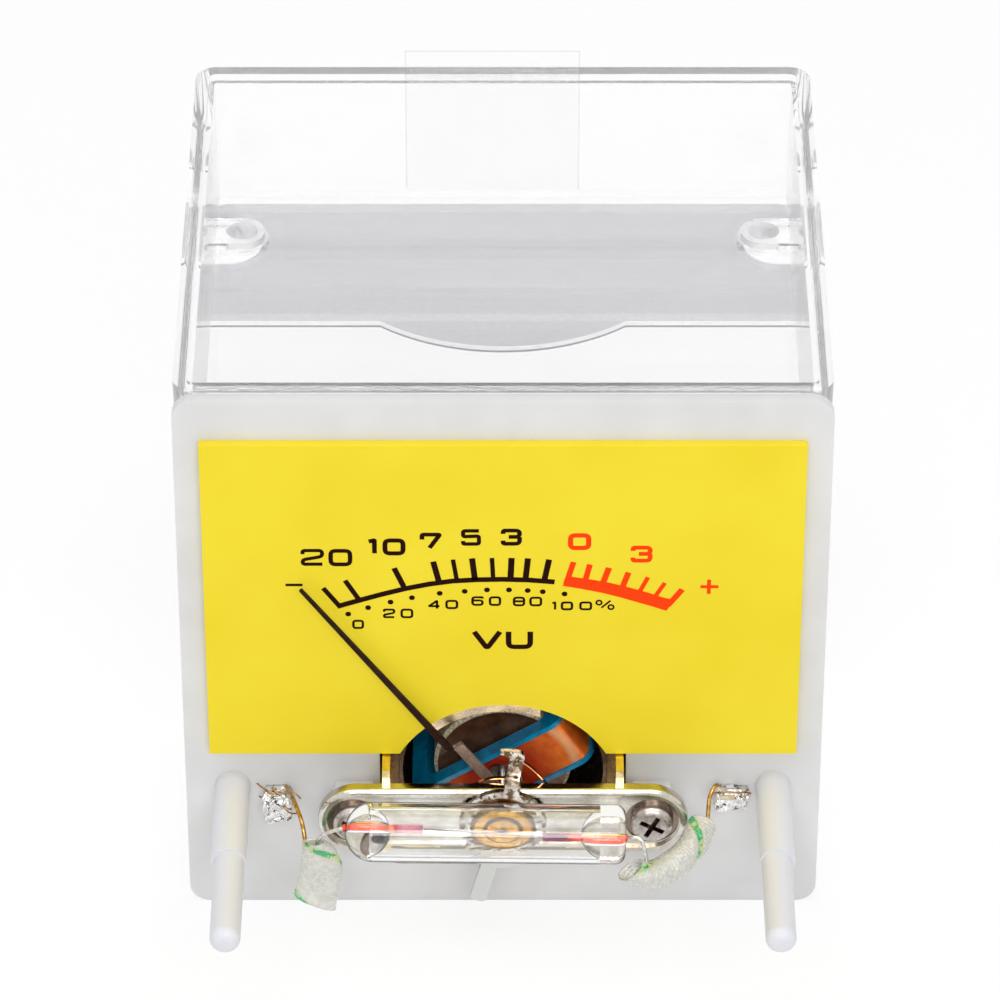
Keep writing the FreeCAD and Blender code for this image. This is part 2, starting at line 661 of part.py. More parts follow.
def pointer_holder():
    """Bent strip on the front arbor: a leg that leans forward to the pointer, a tail for the weight."""
    back = YOKE_FRONT - HOLDER_GAP
    front = back - HOLDER_T
    tip = POINTER_Y + POINTER_T
    profile = [(back, -TAIL_REACH), (back, HOLDER_REACH), (tip, LEG_REACH), (tip, LEG_REACH - HOLDER_T),
               (front, HOLDER_REACH - HOLDER_T), (front, -TAIL_REACH)]
    corners = [V(-HOLDER_W / 2, y, PIVOT_Z + z) for y, z in profile]
    strip = Part.Face(Part.makePolygon(corners + corners[:1])).extrude(V(HOLDER_W, 0, 0))
    strip = strip.fuse(rod_y(HOLDER_EYE_R, front, back)).removeSplitter()
    return turned(strip.cut(rod_y(ARBOR_R, front - 1, back + 1)), REST_TURN)


def pointer():
    """Tapered needle on the holder's leg."""
    half_root = POINTER_ROOT_W / 2
    half_tip = POINTER_TIP_W / 2
    root = PIVOT_Z + POINTER_ROOT
    tip = PIVOT_Z + POINTER_LENGTH
    outline = outline_through([(-half_root, root), (half_root, root), (half_tip, tip), (-half_tip, tip)],
                              POINTER_Y)
    return turned(slab(outline, POINTER_T), REST_TURN)


def balance_weight():
    """Brass slug on the holder's tail."""
    front = YOKE_FRONT - HOLDER_GAP - HOLDER_T
    slug = rod_y(WEIGHT_R, front - WEIGHT_LENGTH, front, 0, PIVOT_Z - WEIGHT_PLACE)
    return turned(slug, REST_TURN)


# ---------------------------------------------------------------- bridge and bearings
def front_bridge():
    """Pressed plate with a raised rim, sunk inside it except under the nut and round the screws' recesses."""
    bridge = obround(2 * BRIDGE_TIP_X, BRIDGE_W, BRIDGE_FRONT, BRIDGE_BACK, PIVOT_Z)
    bridge = bridge.makeFillet(BRIDGE_EDGE_R, edges_on_plane(bridge, BRIDGE_FRONT))
    sunk = obround(2 * (BRIDGE_TIP_X - BRIDGE_RIM), BRIDGE_W - 2 * BRIDGE_RIM,
                   BRIDGE_FRONT - 1, BRIDGE_FRONT + BRIDGE_SINK, PIVOT_Z)
    bridge = bridge.cut(sunk.cut(rod_y(NUT_R + BRIDGE_BOSS_GAP, BRIDGE_FRONT - 2, BRIDGE_BACK)))
    for side in (-1, 1):
        x = side * SCREW_X
        bridge = bridge.cut([
            rod_y(SCREW_RECESS_R, BRIDGE_FRONT - 1, BRIDGE_FRONT + SCREW_RECESS_DEPTH, x),
            rod_y(SCREW_SHANK_R + SCREW_HOLE_CLEARANCE, BRIDGE_FRONT - 1, BRIDGE_BACK + 1, x)])
    return bridge.cut(rod_y(JEWEL_R + JEWEL_CLEARANCE, BRIDGE_FRONT - 1, BRIDGE_BACK + 1))


def bridge_screw(side):
    """Pan-head cross-recess screw into a boss of the base."""
    x = side * SCREW_X
    seat = BRIDGE_FRONT + SCREW_RECESS_DEPTH
    crown = seat - SCREW_HEAD_H
    head = rod_y(SCREW_HEAD_R, crown, seat, x)
    head = head.makeFillet(SCREW_HEAD_H * SCREW_HEAD_ROUND, edges_on_plane(head, crown))
    screw = head.fuse(rod_y(SCREW_SHANK_R, crown + SCREW_HEAD_H / 2, seat + SCREW_REACH, x))
    for degrees in (CROSS_TURN, CROSS_TURN + 90):
        arm = block(x - CROSS_HALF_L, x + CROSS_HALF_L, crown - 1, crown + CROSS_DEPTH,
                    PIVOT_Z - CROSS_HALF_W, PIVOT_Z + CROSS_HALF_W)
        arm.rotate(V(x, 0, PIVOT_Z), Y_AXIS, degrees)
        screw = screw.cut(arm)
    return screw.removeSplitter()


def bearing_screw(outside, inside, tip, slot_turn):
    """Brass bearing screw: slotted outside, with a blind hole for the pivot inside."""
    low, high = min(outside, inside), max(outside, inside)
    screw = rod_y(JEWEL_R, low, high)
    direction = 1 if outside < inside else -1
    hole_end = tip - direction * RUNNING_FIT
    hole = rod_y(PIVOT_R + RUNNING_FIT, min(hole_end, inside), max(hole_end, inside))
    slot = block(-JEWEL_R - 1, JEWEL_R + 1, outside - JEWEL_SLOT_DEPTH, outside + JEWEL_SLOT_DEPTH,
                 PIVOT_Z - JEWEL_SLOT_W / 2, PIVOT_Z + JEWEL_SLOT_W / 2)
    return screw.cut(hole).cut(turned(slot, slot_turn))


def lock_nut(y0, y1):
    nut = rod_y(NUT_R, y0, y1)
    return nut.cut(rod_y(JEWEL_R + JEWEL_CLEARANCE, y0 - 1, y1 + 1))


def zero_adjuster():
    """Ring round the nut; the arm bends back over the bridge, the tail hangs below it."""
    front = BRIDGE_FRONT - ADJUSTER_T
    ring = rod_y(ADJUSTER_R, front, BRIDGE_FRONT)
    half = ARM_W / 2
    shoulder = PIVOT_Z + BRIDGE_W / 2 + ARM_CLEARANCE
    arm = block(-half, half, front, BRIDGE_FRONT, PIVOT_Z, shoulder + ADJUSTER_T)
    over = block(-half, half, front, FRONT_SPRING_Y, shoulder, shoulder + ADJUSTER_T)
    finger_half = half * FINGER_SHARE
    finger_front = FRONT_SPRING_Y - ADJUSTER_T
    finger_top = PIVOT_Z + ARM_TOP
    finger = block(-finger_half, finger_half, finger_front, FRONT_SPRING_Y, shoulder, finger_top)
    finger = finger.makeFillet(FINGER_ROUND, [edge for edge in finger.Edges
                                              if edge.BoundBox.XMin > 0 and edge.BoundBox.ZMin > finger_top - 0.1])
    hook = slab(outline_through([
        (0, finger_top), (-finger_half, finger_top),
        (-finger_half - HOOK_REACH, finger_top - HOOK_TIP_DROP),
        (-finger_half - HOOK_REACH, finger_top - HOOK_TIP_DROP - HOOK_TIP_H),
        (-finger_half, finger_top - HOOK_ROOT_H), (0, finger_top - HOOK_ROOT_H)], finger_front), ADJUSTER_T)
    tail_half = TAIL_W / 2
    tail = block(-tail_half, tail_half, front, BRIDGE_FRONT, PIVOT_Z - TAIL_LENGTH, PIVOT_Z)
    tail_end = [edge for edge in tail.Edges
                if edge.BoundBox.YLength > ADJUSTER_T * 0.9 and edge.BoundBox.ZMax < PIVOT_Z - 1]
    tail = turned(tail.makeFillet(tail_half * TAIL_ROUND, tail_end), TAIL_LEAN)
    shoulder_plate = rod_y(SHOULDER_R, front, BRIDGE_FRONT).common(block(
        -SHOULDER_HALF_W, SHOULDER_HALF_W, front, BRIDGE_FRONT, PIVOT_Z - SHOULDER_R, PIVOT_Z - NUT_R))
    shape = ring.fuse([arm, over, finger, hook, tail, shoulder_plate]).removeSplitter()
    shape = shape.cut(rod_y(NUT_R + ADJUSTER_CLEARANCE, front - 1, BRIDGE_FRONT + 1))
    shape = shape.cut(rod_y(ARM_HOLE_R, finger_front - 1, FRONT_SPRING_Y + 1, 0,
                            finger_top - ARM_HOLE_DROP))
    return turned(shape, ADJUSTER_TURN)


# ---------------------------------------------------------------- lamp
def lamp_tilted(shape):
    moved = shape.copy()
    moved.rotate(V(LAMP_X, LAMP_Y, LAMP_Z), Y_AXIS, LAMP_TILT)
    return moved


def lamp_end(side):
    return LAMP_X + side * LAMP_LENGTH / 2


def lamp_tube():
    """Glass tube closed by a domed bead at the left and a flatter one at the right, round its two leads."""
    left, right = lamp_end(-1), lamp_end(1)
    tube = rod_x(LAMP_R, left, right, LAMP_Y, LAMP_Z)
    bore_r = LAMP_R - LAMP_WALL
    hollow = rod_x(bore_r, left + LAMP_SEAL[-1], right - LAMP_SEAL[1], LAMP_Y, LAMP_Z)
    for side in (-1, 1):
        end = lamp_end(side)
        rim = [edge for edge in tube.Edges
               if edge.BoundBox.XLength < 1e-4 and abs(edge.BoundBox.XMin - end) < 1e-4]
        tube = tube.makeFillet(LAMP_R * LAMP_DOME[side], rim)
        bead_x = end - side * (LAMP_SEAL[side] + LAMP_BEAD - bore_r)
        hollow = hollow.cut(Part.makeSphere(bore_r, V(bead_x, LAMP_Y, LAMP_Z)))
    tube = tube.cut(hollow)
    for side in (-1, 1):
        hole = rod_x(LEAD_R + LEAD_CLEARANCE, min(0, 2 * lamp_end(side)), max(0, 2 * lamp_end(side)),
                     LAMP_Y, LAMP_Z + LEAD_RISE[side])
        tube = tube.cut(hole)
    return lamp_tilted(tube)


def sealed_lead(side, length, blade):
    """Red sealed-in lead; the flattened blade carries the filament."""
    end = lamp_end(side) + side * LEAD_STANDS
    inner = end - side * length
    z = LAMP_Z + LEAD_RISE[side]
    lead = rod_x(LEAD_R, min(end, inner), max(end, inner), LAMP_Y, z)
    tip = inner - side * blade
    flat = block(min(tip, inner + side * BLADE_LAP), max(tip, inner + side * BLADE_LAP),
                 LAMP_Y - BLADE_T / 2, LAMP_Y + BLADE_T / 2, z - BLADE_W / 2, z + BLADE_W / 2)
    return lamp_tilted(lead.fuse(flat).removeSplitter())


def filament():
    """Fine wire from blade to blade."""
    start = V(lamp_end(-1) - LEAD_STANDS + LEFT_LEAD_LENGTH + LEFT_BLADE_LENGTH, LAMP_Y, LAMP_Z + LEAD_RISE[-1])
    end = V(lamp_end(1) + LEAD_STANDS - RIGHT_LEAD_LENGTH - RIGHT_BLADE_LENGTH, LAMP_Y, LAMP_Z + LEAD_RISE[1])
    start.x += FILAMENT_R
    end.x -= FILAMENT_R
    return lamp_tilted(Part.makeCylinder(FILAMENT_R, (end - start).Length, start, end - start))


def solder(side):
    """A lump of solder with sloping sides round the front end of a lamp terminal."""
    x = side * TERMINAL_X
    def outline(half_w, half_h, y, lean):
        return rounded_outline(x - half_w, x + half_w, TERMINAL_Z - half_h - lean, TERMINAL_Z + half_h,
                               SOLDER_CORNER_R, SOLDER_CORNER_R, y)
    lump = Part.makeLoft([outline(1.7, 1.9, 0, 1.2), outline(1.45, 1.5, -1.4, 1.3),
                          outline(0.9, 0.9, -2.3, 0.8)], True, True)
    return lump.cut([terminal_bar(x, TERMINAL_Z, -TERMINAL_FRONT, 1), feed_wire(side)])


def lead_end(side, rise=0):
    """The outer end of a sealed lead, or with no rise the same place on the tube's axis."""
    return lamp_tilted(Part.Vertex(V(lamp_end(side) + side * LEAD_STANDS, LAMP_Y, LAMP_Z + rise))).Point


# ---------------------------------------------------------------- wiring
def lamp_wire(side):
    """Bare wire from a sealed lead into its sleeve."""
    steps = [lead_end(side) + step for step in LAMP_WIRE_STEPS[side]]
    return bent_wire(LAMP_WIRE_R, [lead_end(side, LEAD_RISE[side])] + steps)


def past_bridge(steps):
    """Points of the right-hand wiring, outside the bridge's tip."""
    joint = lead_end(1)
    return [V(BRIDGE_TIP_X, joint.y, joint.z) + step for step in steps]


def feed_wire(side):
    """Lacquered wire from a terminal's solder into a sleeve."""
    start = V(side * (TERMINAL_X - FEED_START_IN), -FEED_START_OUT, TERMINAL_Z + FEED_START_UP)
    if side < 0:
        into_sleeve = [lead_end(-1) + step for step in LEFT_FEED_STEPS]
    else:
        into_sleeve = past_bridge(RIGHT_FEED_PAST_BRIDGE)
    return bent_wire(FEED_WIRE_R, [start, start + FEED_WIRE_FIRST[side]] + into_sleeve)


def flat_sleeve():
    """The left sleeve: pressed flat, it hangs from the joint and is cut off slantwise."""
    joint = lead_end(-1)
    corners = [(joint.x + dx, joint.z + dz) for dx, dz in FLAT_SLEEVE_CORNERS]
    sleeve = slab(outline_through(corners, LAMP_Y - SLEEVE_FLAT_T / 2), SLEEVE_FLAT_T)
    upright = [edge for edge in sleeve.Edges if edge.BoundBox.YLength > SLEEVE_FLAT_T * 0.9]
    return sleeve.makeFillet(SLEEVE_CORNER_R, upright).cut([lamp_wire(-1), feed_wire(-1)])


def round_sleeve():
    """The right sleeve: it bends from under the lamp's end back towards the terminal."""
    joint = lead_end(1)
    tube = bent_wire(SLEEVE_R, [joint + step for step in ROUND_SLEEVE_STEPS]
                     + past_bridge(ROUND_SLEEVE_PAST_BRIDGE))
    return tube.cut([lamp_wire(1), feed_wire(1)])


def spring_anchor():
    """Brass post on the rear bar that holds the rear spring's outer end."""
    inner = -SPRING_OUTER_R - SPRING_STRIP / 2 - ANCHOR_CLEARANCE
    return block(inner - ANCHOR_W, inner, REAR_SPRING_Y - ANCHOR_FRONT, REAR_BAR_Y,
                 PIVOT_Z - ANCHOR_W / 2, PIVOT_Z + ANCHOR_W / 2)


def signal_wire(side):
    """Wire inside the housing: the left one feeds the rear spring, the right one the frame."""
    inside = WELL_FLOOR - SIGNAL_INSIDE
    start = V(side * SIGNAL_X, inside, SIGNAL_Z)
    if side < 0:
        anchor_x = -SPRING_OUTER_R - ANCHOR_W * 0.6
        lane = REAR_BAR_Y - 0.6
        route = [V(-SIGNAL_X, lane - 0.4, SIGNAL_Z), V(anchor_x - 0.2, lane, PIVOT_Z - 3),
                 V(anchor_x, lane, PIVOT_Z - ANCHOR_W / 2)]
    else:
        route = [V(SIGNAL_X, inside - 0.6, SIGNAL_Z), V(SIGNAL_X, inside - 0.4, SIGNAL_Z + 1),
                 V(SIGNAL_X, REAR_BAR_Y + FRAME_T / 2, PIVOT_Z - FRAME_DOWN)]
    return bent_wire(SIGNAL_WIRE_R, [start] + route)


# ---------------------------------------------------------------- cover, mask and tape
def laid_behind(shape):
    """Takes a shape from the closed place to the place behind the plate, open side up."""
    moved = shape.copy()
    moved.rotate(V(0, 0, 0), X_AXIS, 90)
    moved.translate(V(0, PLATE_T + COVER_GAP + PLATE_TOP, PLATE_TOP + COVER_LIFT))
    return moved


def cover_outline(inset, radius, y):
    half = PLATE_W / 2 - inset
    return rounded_outline(-half, half, COVER_BOTTOM + inset, PLATE_TOP - inset, radius, radius, y)


def clear_cover():
    """Open box with a little draft, a stepped rim and two ears for the studs."""
    outer = Part.makeLoft([cover_outline(0, PLATE_TOP_R, 0),
                           cover_outline(COVER_DRAFT, PLATE_TOP_R, -COVER_DEPTH)], True, True)
    outer = outer.makeFillet(COVER_EDGE_R, edges_on_plane(outer, -COVER_DEPTH))
    inner_r = PLATE_TOP_R - COVER_WALL
    inner = Part.makeLoft([cover_outline(COVER_WALL, inner_r, 1),
                           cover_outline(COVER_WALL + COVER_DRAFT, inner_r, COVER_FLOOR - COVER_DEPTH)],
                          True, True)
    shape = outer.cut(inner)
    step = slab(cover_outline(COVER_WALL - RIM_STEP, inner_r + RIM_STEP, -RIM_STEP_DEPTH), RIM_STEP_DEPTH + 1)
    shape = shape.cut(step)
    for side in (-1, 1):
        x = side * STUD_X
        floor = COVER_FLOOR - COVER_DEPTH
        wall_x = side * (PLATE_W / 2 - COVER_WALL)
        ear = rod_y(EAR_R, floor - EAR_SINK, floor + EAR_HEIGHT, x, 0)
        web = block(min(x, wall_x), max(x, wall_x), floor - EAR_SINK, floor + EAR_HEIGHT, -EAR_R, EAR_R)
        shape = shape.fuse([ear, web])
        shape = shape.cut(rod_y(STUD_R + EAR_CLEARANCE, -COVER_DEPTH - 1, 0, x, 0))
    return laid_behind(shape.removeSplitter())


def mask_plate():
    """Grey mask on the cover's front, with a round hump over the movement and a slot for each stud."""
    low = COVER_BOTTOM + MASK_MARGIN
    high = low + MASK_H
    front = -COVER_DEPTH - MASK_T
    mask = rounded_slab(-MASK_HALF_W, MASK_HALF_W, low, high, MASK_TOP_R, MASK_BOTTOM_R, front, -COVER_DEPTH)
    hump = rod_y(MASK_BUMP_R, front, -COVER_DEPTH)
    hump = hump.common(block(-MASK_BUMP_R, MASK_BUMP_R, front - 1, 0, high - 1, high + MASK_BUMP_R))
    mask = mask.fuse(hump)
    for side in (-1, 1):
        edge_x = side * (MASK_HALF_W + 1)
        round_x = side * (MASK_HALF_W - NOTCH_LENGTH + NOTCH_W / 2)
        slot = block(min(edge_x, round_x), max(edge_x, round_x), front - 1, 0, -NOTCH_W / 2, NOTCH_W / 2)
        mask = mask.cut(slot.fuse(rod_y(NOTCH_W / 2, front - 1, 0, round_x, 0)))
    return laid_behind(mask.removeSplitter())


def seal_tape():
    """Strip of clear tape on the lower wall that stands past the rim."""
    lean = COVER_DRAFT / COVER_DEPTH
    top = TAPE_OVERHANG
    bottom = -TAPE_LAP
    wall = COVER_BOTTOM
    points = [V(0, top, wall), V(0, 0, wall), V(0, bottom, wall - bottom * lean),
              V(0, bottom, wall - bottom * lean - TAPE_T), V(0, 0, wall - TAPE_T), V(0, top, wall - TAPE_T)]
    face = Part.Face(Part.makePolygon(points + points[:1]))
    face.translate(V(TAPE_X - TAPE_W / 2, 0, 0))
    return laid_behind(face.extrude(V(TAPE_W, 0, 0)))


# ---------------------------------------------------------------- the nodes
keep("base_plate", base_plate())
keep("dial_plate", dial_plate())
keep("yoke", yoke())
keep("movement_frame", movement_frame())
keep("core_magnet", core_magnet())
keep("core_strap", core_strap())
keep("front_bridge", front_bridge())
keep("bridge_screws", bridge_screw(-1), bridge_screw(1))
keep("front_jewel_screw", bearing_screw(JEWEL_FRONT, BRIDGE_BACK, FRONT_PIVOT_TIP, FRONT_SLOT_TURN))
keep("front_jewel_nut", lock_nut(NUT_FRONT, BRIDGE_FRONT))
keep("rear_jewel_screw", bearing_screw(REAR_NUT_BACK + JEWEL_STANDS, REAR_BAR_Y, REAR_PIVOT_TIP,
                                       REAR_SLOT_TURN))
keep("rear_jewel_nut", lock_nut(REAR_BAR_BACK, REAR_NUT_BACK))
keep("zero_adjuster", zero_adjuster())

keep("coil_former", coil_former())
keep("coil_winding", coil_winding())
keep("front_arbor", arbor(FRONT_PIVOT_TIP, COIL_FRONT, -1))
keep("rear_arbor", arbor(REAR_PIVOT_TIP, COIL_REAR, 1))
keep("spring_collets", collet(FRONT_SPRING_Y), collet(REAR_SPRING_Y))
keep("pointer_holder", pointer_holder())
keep("pointer", pointer())
keep("balance_weight", balance_weight())
keep("front_hairspring", hairspring(FRONT_SPRING_Y, 90 - ADJUSTER_TURN, SPRING_FLARE))
keep("rear_hairspring", hairspring(REAR_SPRING_Y, 180))

keep("lamp_tube", lamp_tube())
keep("lamp_lead_left", sealed_lead(-1, LEFT_LEAD_LENGTH, LEFT_BLADE_LENGTH))
keep("lamp_lead_right", sealed_lead(1, RIGHT_LEAD_LENGTH, RIGHT_BLADE_LENGTH))
keep("lamp_filament", filament())
keep("lamp_wires", lamp_wire(-1), lamp_wire(1))
keep("feed_wires", feed_wire(-1), feed_wire(1))
keep("left_sleeve", flat_sleeve())
keep("right_sleeve", round_sleeve())
keep("lamp_terminals", *[terminal_bar(side * TERMINAL_X, TERMINAL_Z, -TERMINAL_FRONT,
                                      PLATE_T + TERMINAL_REAR, EYE_R) for side in (-1, 1)])
keep("lamp_solder", solder(-1), solder(1))
keep("signal_terminals", *[terminal_bar(side * SIGNAL_X, SIGNAL_Z, WELL_FLOOR - SIGNAL_INSIDE,
                                        HOUSING_BACK + SIGNAL_REAR, EYE_R) for side in (-1, 1)])
keep("signal_wires", signal_wire(-1), signal_wire(1))
keep("spring_anchor", spring_anchor())

keep("clear_cover", clear_cover())
keep("mask_plate", mask_plate())
keep("seal_tape", seal_tape())

os.makedirs("parts", exist_ok=True)
for name, shape in parts.items():
    shape.exportStep(os.path.join("parts", name + ".step"))
    state = "" if shape.isValid() else "  NOT VALID"
    print(f"{name}: {len(shape.Solids)} solid(s), {shape.Volume:.2f} mm3{state}")
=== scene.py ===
# %% [markdown]
# # Panel level meter, opened for service
# The fixed frame comes first: every CAD node at its place, in metres, with X to the right, Z up and the
# dial facing -Y. Everything made here is drawn in millimetres in that frame and scaled once at the end,
# because sizes such as 0.35 are easier to read and to check than 0.00035.

# %% The frame
import math

import bmesh
import bpy
from mathutils import Matrix, Vector, noise


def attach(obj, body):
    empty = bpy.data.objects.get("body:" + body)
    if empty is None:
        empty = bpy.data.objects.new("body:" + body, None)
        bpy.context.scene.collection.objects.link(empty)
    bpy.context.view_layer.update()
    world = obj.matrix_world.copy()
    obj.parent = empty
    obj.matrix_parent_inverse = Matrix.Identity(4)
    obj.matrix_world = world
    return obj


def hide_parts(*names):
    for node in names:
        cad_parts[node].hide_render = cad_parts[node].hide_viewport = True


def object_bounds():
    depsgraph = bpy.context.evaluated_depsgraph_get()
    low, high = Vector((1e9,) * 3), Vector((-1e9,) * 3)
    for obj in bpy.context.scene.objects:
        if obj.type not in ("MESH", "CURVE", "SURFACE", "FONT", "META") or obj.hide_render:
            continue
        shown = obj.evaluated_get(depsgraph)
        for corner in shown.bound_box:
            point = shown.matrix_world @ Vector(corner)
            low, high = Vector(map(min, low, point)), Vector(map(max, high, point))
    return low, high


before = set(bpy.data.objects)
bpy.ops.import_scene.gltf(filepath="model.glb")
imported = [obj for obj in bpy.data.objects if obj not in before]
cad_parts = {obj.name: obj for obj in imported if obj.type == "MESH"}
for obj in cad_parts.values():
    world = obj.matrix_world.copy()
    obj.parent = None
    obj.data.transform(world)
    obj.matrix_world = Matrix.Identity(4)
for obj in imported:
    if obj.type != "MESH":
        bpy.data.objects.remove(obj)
cad_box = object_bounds()
MM = 0.001
PIVOT = Vector((0.0, 0.0, -1.0))        # the needle's axis, which runs along Y


# %% [markdown]
# ## How a finish is written
# A finish is a shader with a few nodes before it. `Signal` wraps a socket, so that sums such as
# `1 - mask * 0.4` add their Math nodes by themselves. `Recipe.add` makes any other node from its type, its
# settings and its inputs, for materials and for the world alike. Plain numbers are set on the shader itself,
# so that an export keeps them.

# %% Signals and recipes
class Signal:
    """A value on its way through a shader."""

    def __init__(self, recipe, socket):
        self.recipe = recipe
        self.socket = socket

    def _maths(self, operation, first, second):
        return self.recipe.add("ShaderNodeMath", {"operation": operation}, {0: first, 1: second})

    def __add__(self, other):
        return self._maths("ADD", self, other)

    def __sub__(self, other):
        return self._maths("SUBTRACT", self, other)

    def __rsub__(self, other):
        return self._maths("SUBTRACT", other, self)

    def __mul__(self, other):
        return self._maths("MULTIPLY", self, other)

    __radd__ = __add__
    __rmul__ = __mul__


class Recipe:
    """A node tree and the one way to add to it."""

    def __init__(self, tree):
        self.tree = tree

    def add(self, kind, settings=None, inputs=None, output=0):
        """A node of one type: first its settings, then the values or links of its inputs."""
        node = self.tree.nodes.new(kind)
        for key, value in (settings or {}).items():
            if key == "stops":
                spare = node.color_ramp.elements
                spare.remove(spare[-1])
                spare[0].position, spare[0].color = value[0][0], (*value[0][1], 1.0)
                for position, colour in value[1:]:
                    spare.new(position).color = (*colour, 1.0)
            else:
                setattr(node, key, value)
        for key, value in (inputs or {}).items():
            if isinstance(value, Signal):
                self.tree.links.new(value.socket, node.inputs[key])
            else:
                node.inputs[key].default_value = value
        return Signal(self, node.outputs[output]) if node.outputs else None

    def ray(self, kind):
        """1 for rays of one kind, such as Camera or Shadow."""
        return self.add("ShaderNodeLightPath", output=f"Is {kind} Ray")

    def seen(self):
        """Above 0 where the camera, a mirror or glass looks."""
        return self.ray("Camera") + self.ray("Glossy") + self.ray("Transmission")

    def place(self, centre=(0, 0, 0), stretch=(1, 1, 1)):
        """Object coordinates in millimetres about a centre, stretched along each axis."""
        here = self.add("ShaderNodeTexCoord", output="Object")
        scale = tuple(s / MM for s in stretch)
        shift = tuple(-c * s for c, s in zip(centre, stretch))
        return self.add("ShaderNodeMapping", {"vector_type": "POINT"},
                        {"Vector": here, "Location": shift, "Scale": scale})

    def along(self, axis):
        """How far a point lies along X, Y or Z, in millimetres."""
        return self.add("ShaderNodeSeparateXYZ", {}, {"Vector": self.place()}, output=axis)

    def distance(self, centre, stretch=(1, 1, 1)):
        """How far a point lies from a centre; a stretch of 0 leaves an axis out."""
        return self.add("ShaderNodeVectorMath", {"operation": "LENGTH"},
                        {0: self.place(centre, stretch)}, output="Value")

    def grain(self, size, detail=3.0, roughness=0.55):
        """Soft noise whose blotches are about size millimetres across."""
        return self.add("ShaderNodeTexNoise", {"noise_dimensions": "3D"}, {
            "Vector": self.place(), "Scale": 1.0 / size, "Detail": detail, "Roughness": roughness})

    def spread(self, signal, low, high, bottom=0.0, top=1.0):
        """Stretches a signal between low and high over bottom to top, and stops there."""
        return self.add("ShaderNodeMapRange", {"clamp": True},
                        {0: signal, 1: low, 2: high, 3: bottom, 4: top})

    def mix(self, mask, first, second):
        """first where the mask is 0 and second where it is 1, as colours."""
        def opaque(colour):
            return colour if isinstance(colour, Signal) else (*colour, 1.0)
        return self.add("ShaderNodeMix", {"data_type": "RGBA"},
                        {0: mask, 6: opaque(first), 7: opaque(second)}, output=2)

    def blend(self, share, first, second):
        """Two shaders mixed: first where the share is 0."""
        return self.add("ShaderNodeMixShader", {}, {0: share, 1: first, 2: second})


class Finish(Recipe):
    """One material: a Principled shader and what feeds it."""

    made = []

    def __init__(self, name, colour, **constants):
        self.material = bpy.data.materials.new(name)
        self.material.use_nodes = True
        Finish.made.append(self.material)
        super().__init__(self.material.node_tree)
        self.shader = self.tree.nodes["Principled BSDF"]
        self.set("Base Color", (*colour, 1.0))
        for key, value in constants.items():
            self.set(key.replace("_", " ").title().replace("Ior", "IOR"), value)

    def set(self, key, value):
        """Links a signal to one of the shader's sockets, or sets a plain value on it."""
        socket = self.shader.inputs[key]
        if isinstance(value, Signal):
            self.tree.links.new(value.socket, socket)
        else:
            socket.default_value = value
        return self

    def bump(self, height, depth):
        """Relief of depth millimetres from a height signal."""
        return self.set("Normal", self.add("ShaderNodeBump", {}, {"Distance": depth * MM, "Height": height}))

    def show(self, shader):
        """Puts another shader on the surface than the Principled one alone."""
        self.tree.links.new(shader.socket, self.tree.nodes["Material Output"].inputs["Surface"])
        return self

    def body(self):
        return Signal(self, self.shader.outputs["BSDF"])


def paint(red, green, blue):
    """A colour as written on a screen, made linear."""
    def linear(value):
        value /= 255
        return value / 12.92 if value <= 0.04045 else ((value + 0.055) / 1.055) ** 2.4
    return linear(red), linear(green), linear(blue)


WHITE = (1.0, 1.0, 1.0)


# %% [markdown]
# ## Milky base
# The base is one moulding in milky polystyrene. Light goes a little way in, so edges and studs glow softly;
# subsurface scattering does that. The skin is smooth with faint flow marks, which are low, wide noise. The
# studs stand out below the dial and catch its yellow light, so their tone is painted a little cooler to
# cancel it.

# %% Milky plastic
STUD_ROOT_Y = -0.6      # what stands out further than this is a stud or a boss


def milky_plastic():
    finish = Finish("milky_plastic", paint(224, 224, 225), roughness=0.36, ior=1.5,
                    subsurface_weight=0.2, subsurface_scale=0.0012)
    finish.set("Subsurface Radius", WHITE)
    flow = finish.spread(finish.grain(9.0, detail=2.0), 0.35, 0.65)
    sheet = finish.mix(flow, paint(223, 223, 224), paint(216, 216, 216))
    # painted counter-tint: the studs are made cooler to cancel the dial's yellow bounce light
    stud_cool_tint = finish.spread(finish.along("Y"), STUD_ROOT_Y - 0.5, STUD_ROOT_Y, 1.0, 0.0)
    finish.set("Base Color", finish.mix(stud_cool_tint, sheet, paint(221, 222, 228)))
    skin = finish.grain(0.7, detail=4.0)
    finish.set("Roughness", finish.spread(skin, 0.3, 0.7, 0.28, 0.42))
    return finish.bump(skin, 0.012).material


MILKY = milky_plastic()
print("finishes so far", len(Finish.made))


# %% [markdown]
# ## Yellow dial
# The dial is sheet metal in flat yellow lacquer. It isn't quite even: the lacquer has a very fine orange-peel
# skin and a slightly warmer tone in places. The print is thick, matt screen ink, nearly black and red-orange.

# %% Dial lacquer and print inks
def dial_lacquer():
    finish = Finish("dial_yellow", paint(240, 217, 38), roughness=0.5, specular_ior_level=0.3)
    tone = finish.spread(finish.grain(14.0, detail=2.0), 0.35, 0.65)
    finish.set("Base Color", finish.mix(tone, paint(238, 213, 30), paint(241, 219, 40)))
    peel = finish.grain(0.35, detail=2.0)
    finish.set("Roughness", finish.spread(peel, 0.3, 0.7, 0.44, 0.56))
    return finish.bump(peel, 0.006).material


def ink(name, body, thin):
    finish = Finish(name, body, roughness=0.7, specular_ior_level=0.05)
    wear = finish.spread(finish.grain(0.5, detail=5.0, roughness=0.7), 0.55, 0.8, 0.0, 0.6)
    finish.set("Base Color", finish.mix(wear, body, thin))
    return finish.bump(finish.grain(0.12), 0.004).material


DIAL_YELLOW = dial_lacquer()
BLACK_INK = ink("black_ink", paint(36, 12, 8), paint(62, 28, 18))
RED_INK = ink("red_ink", paint(252, 66, 14), paint(246, 84, 30))
print("finishes so far", len(Finish.made))
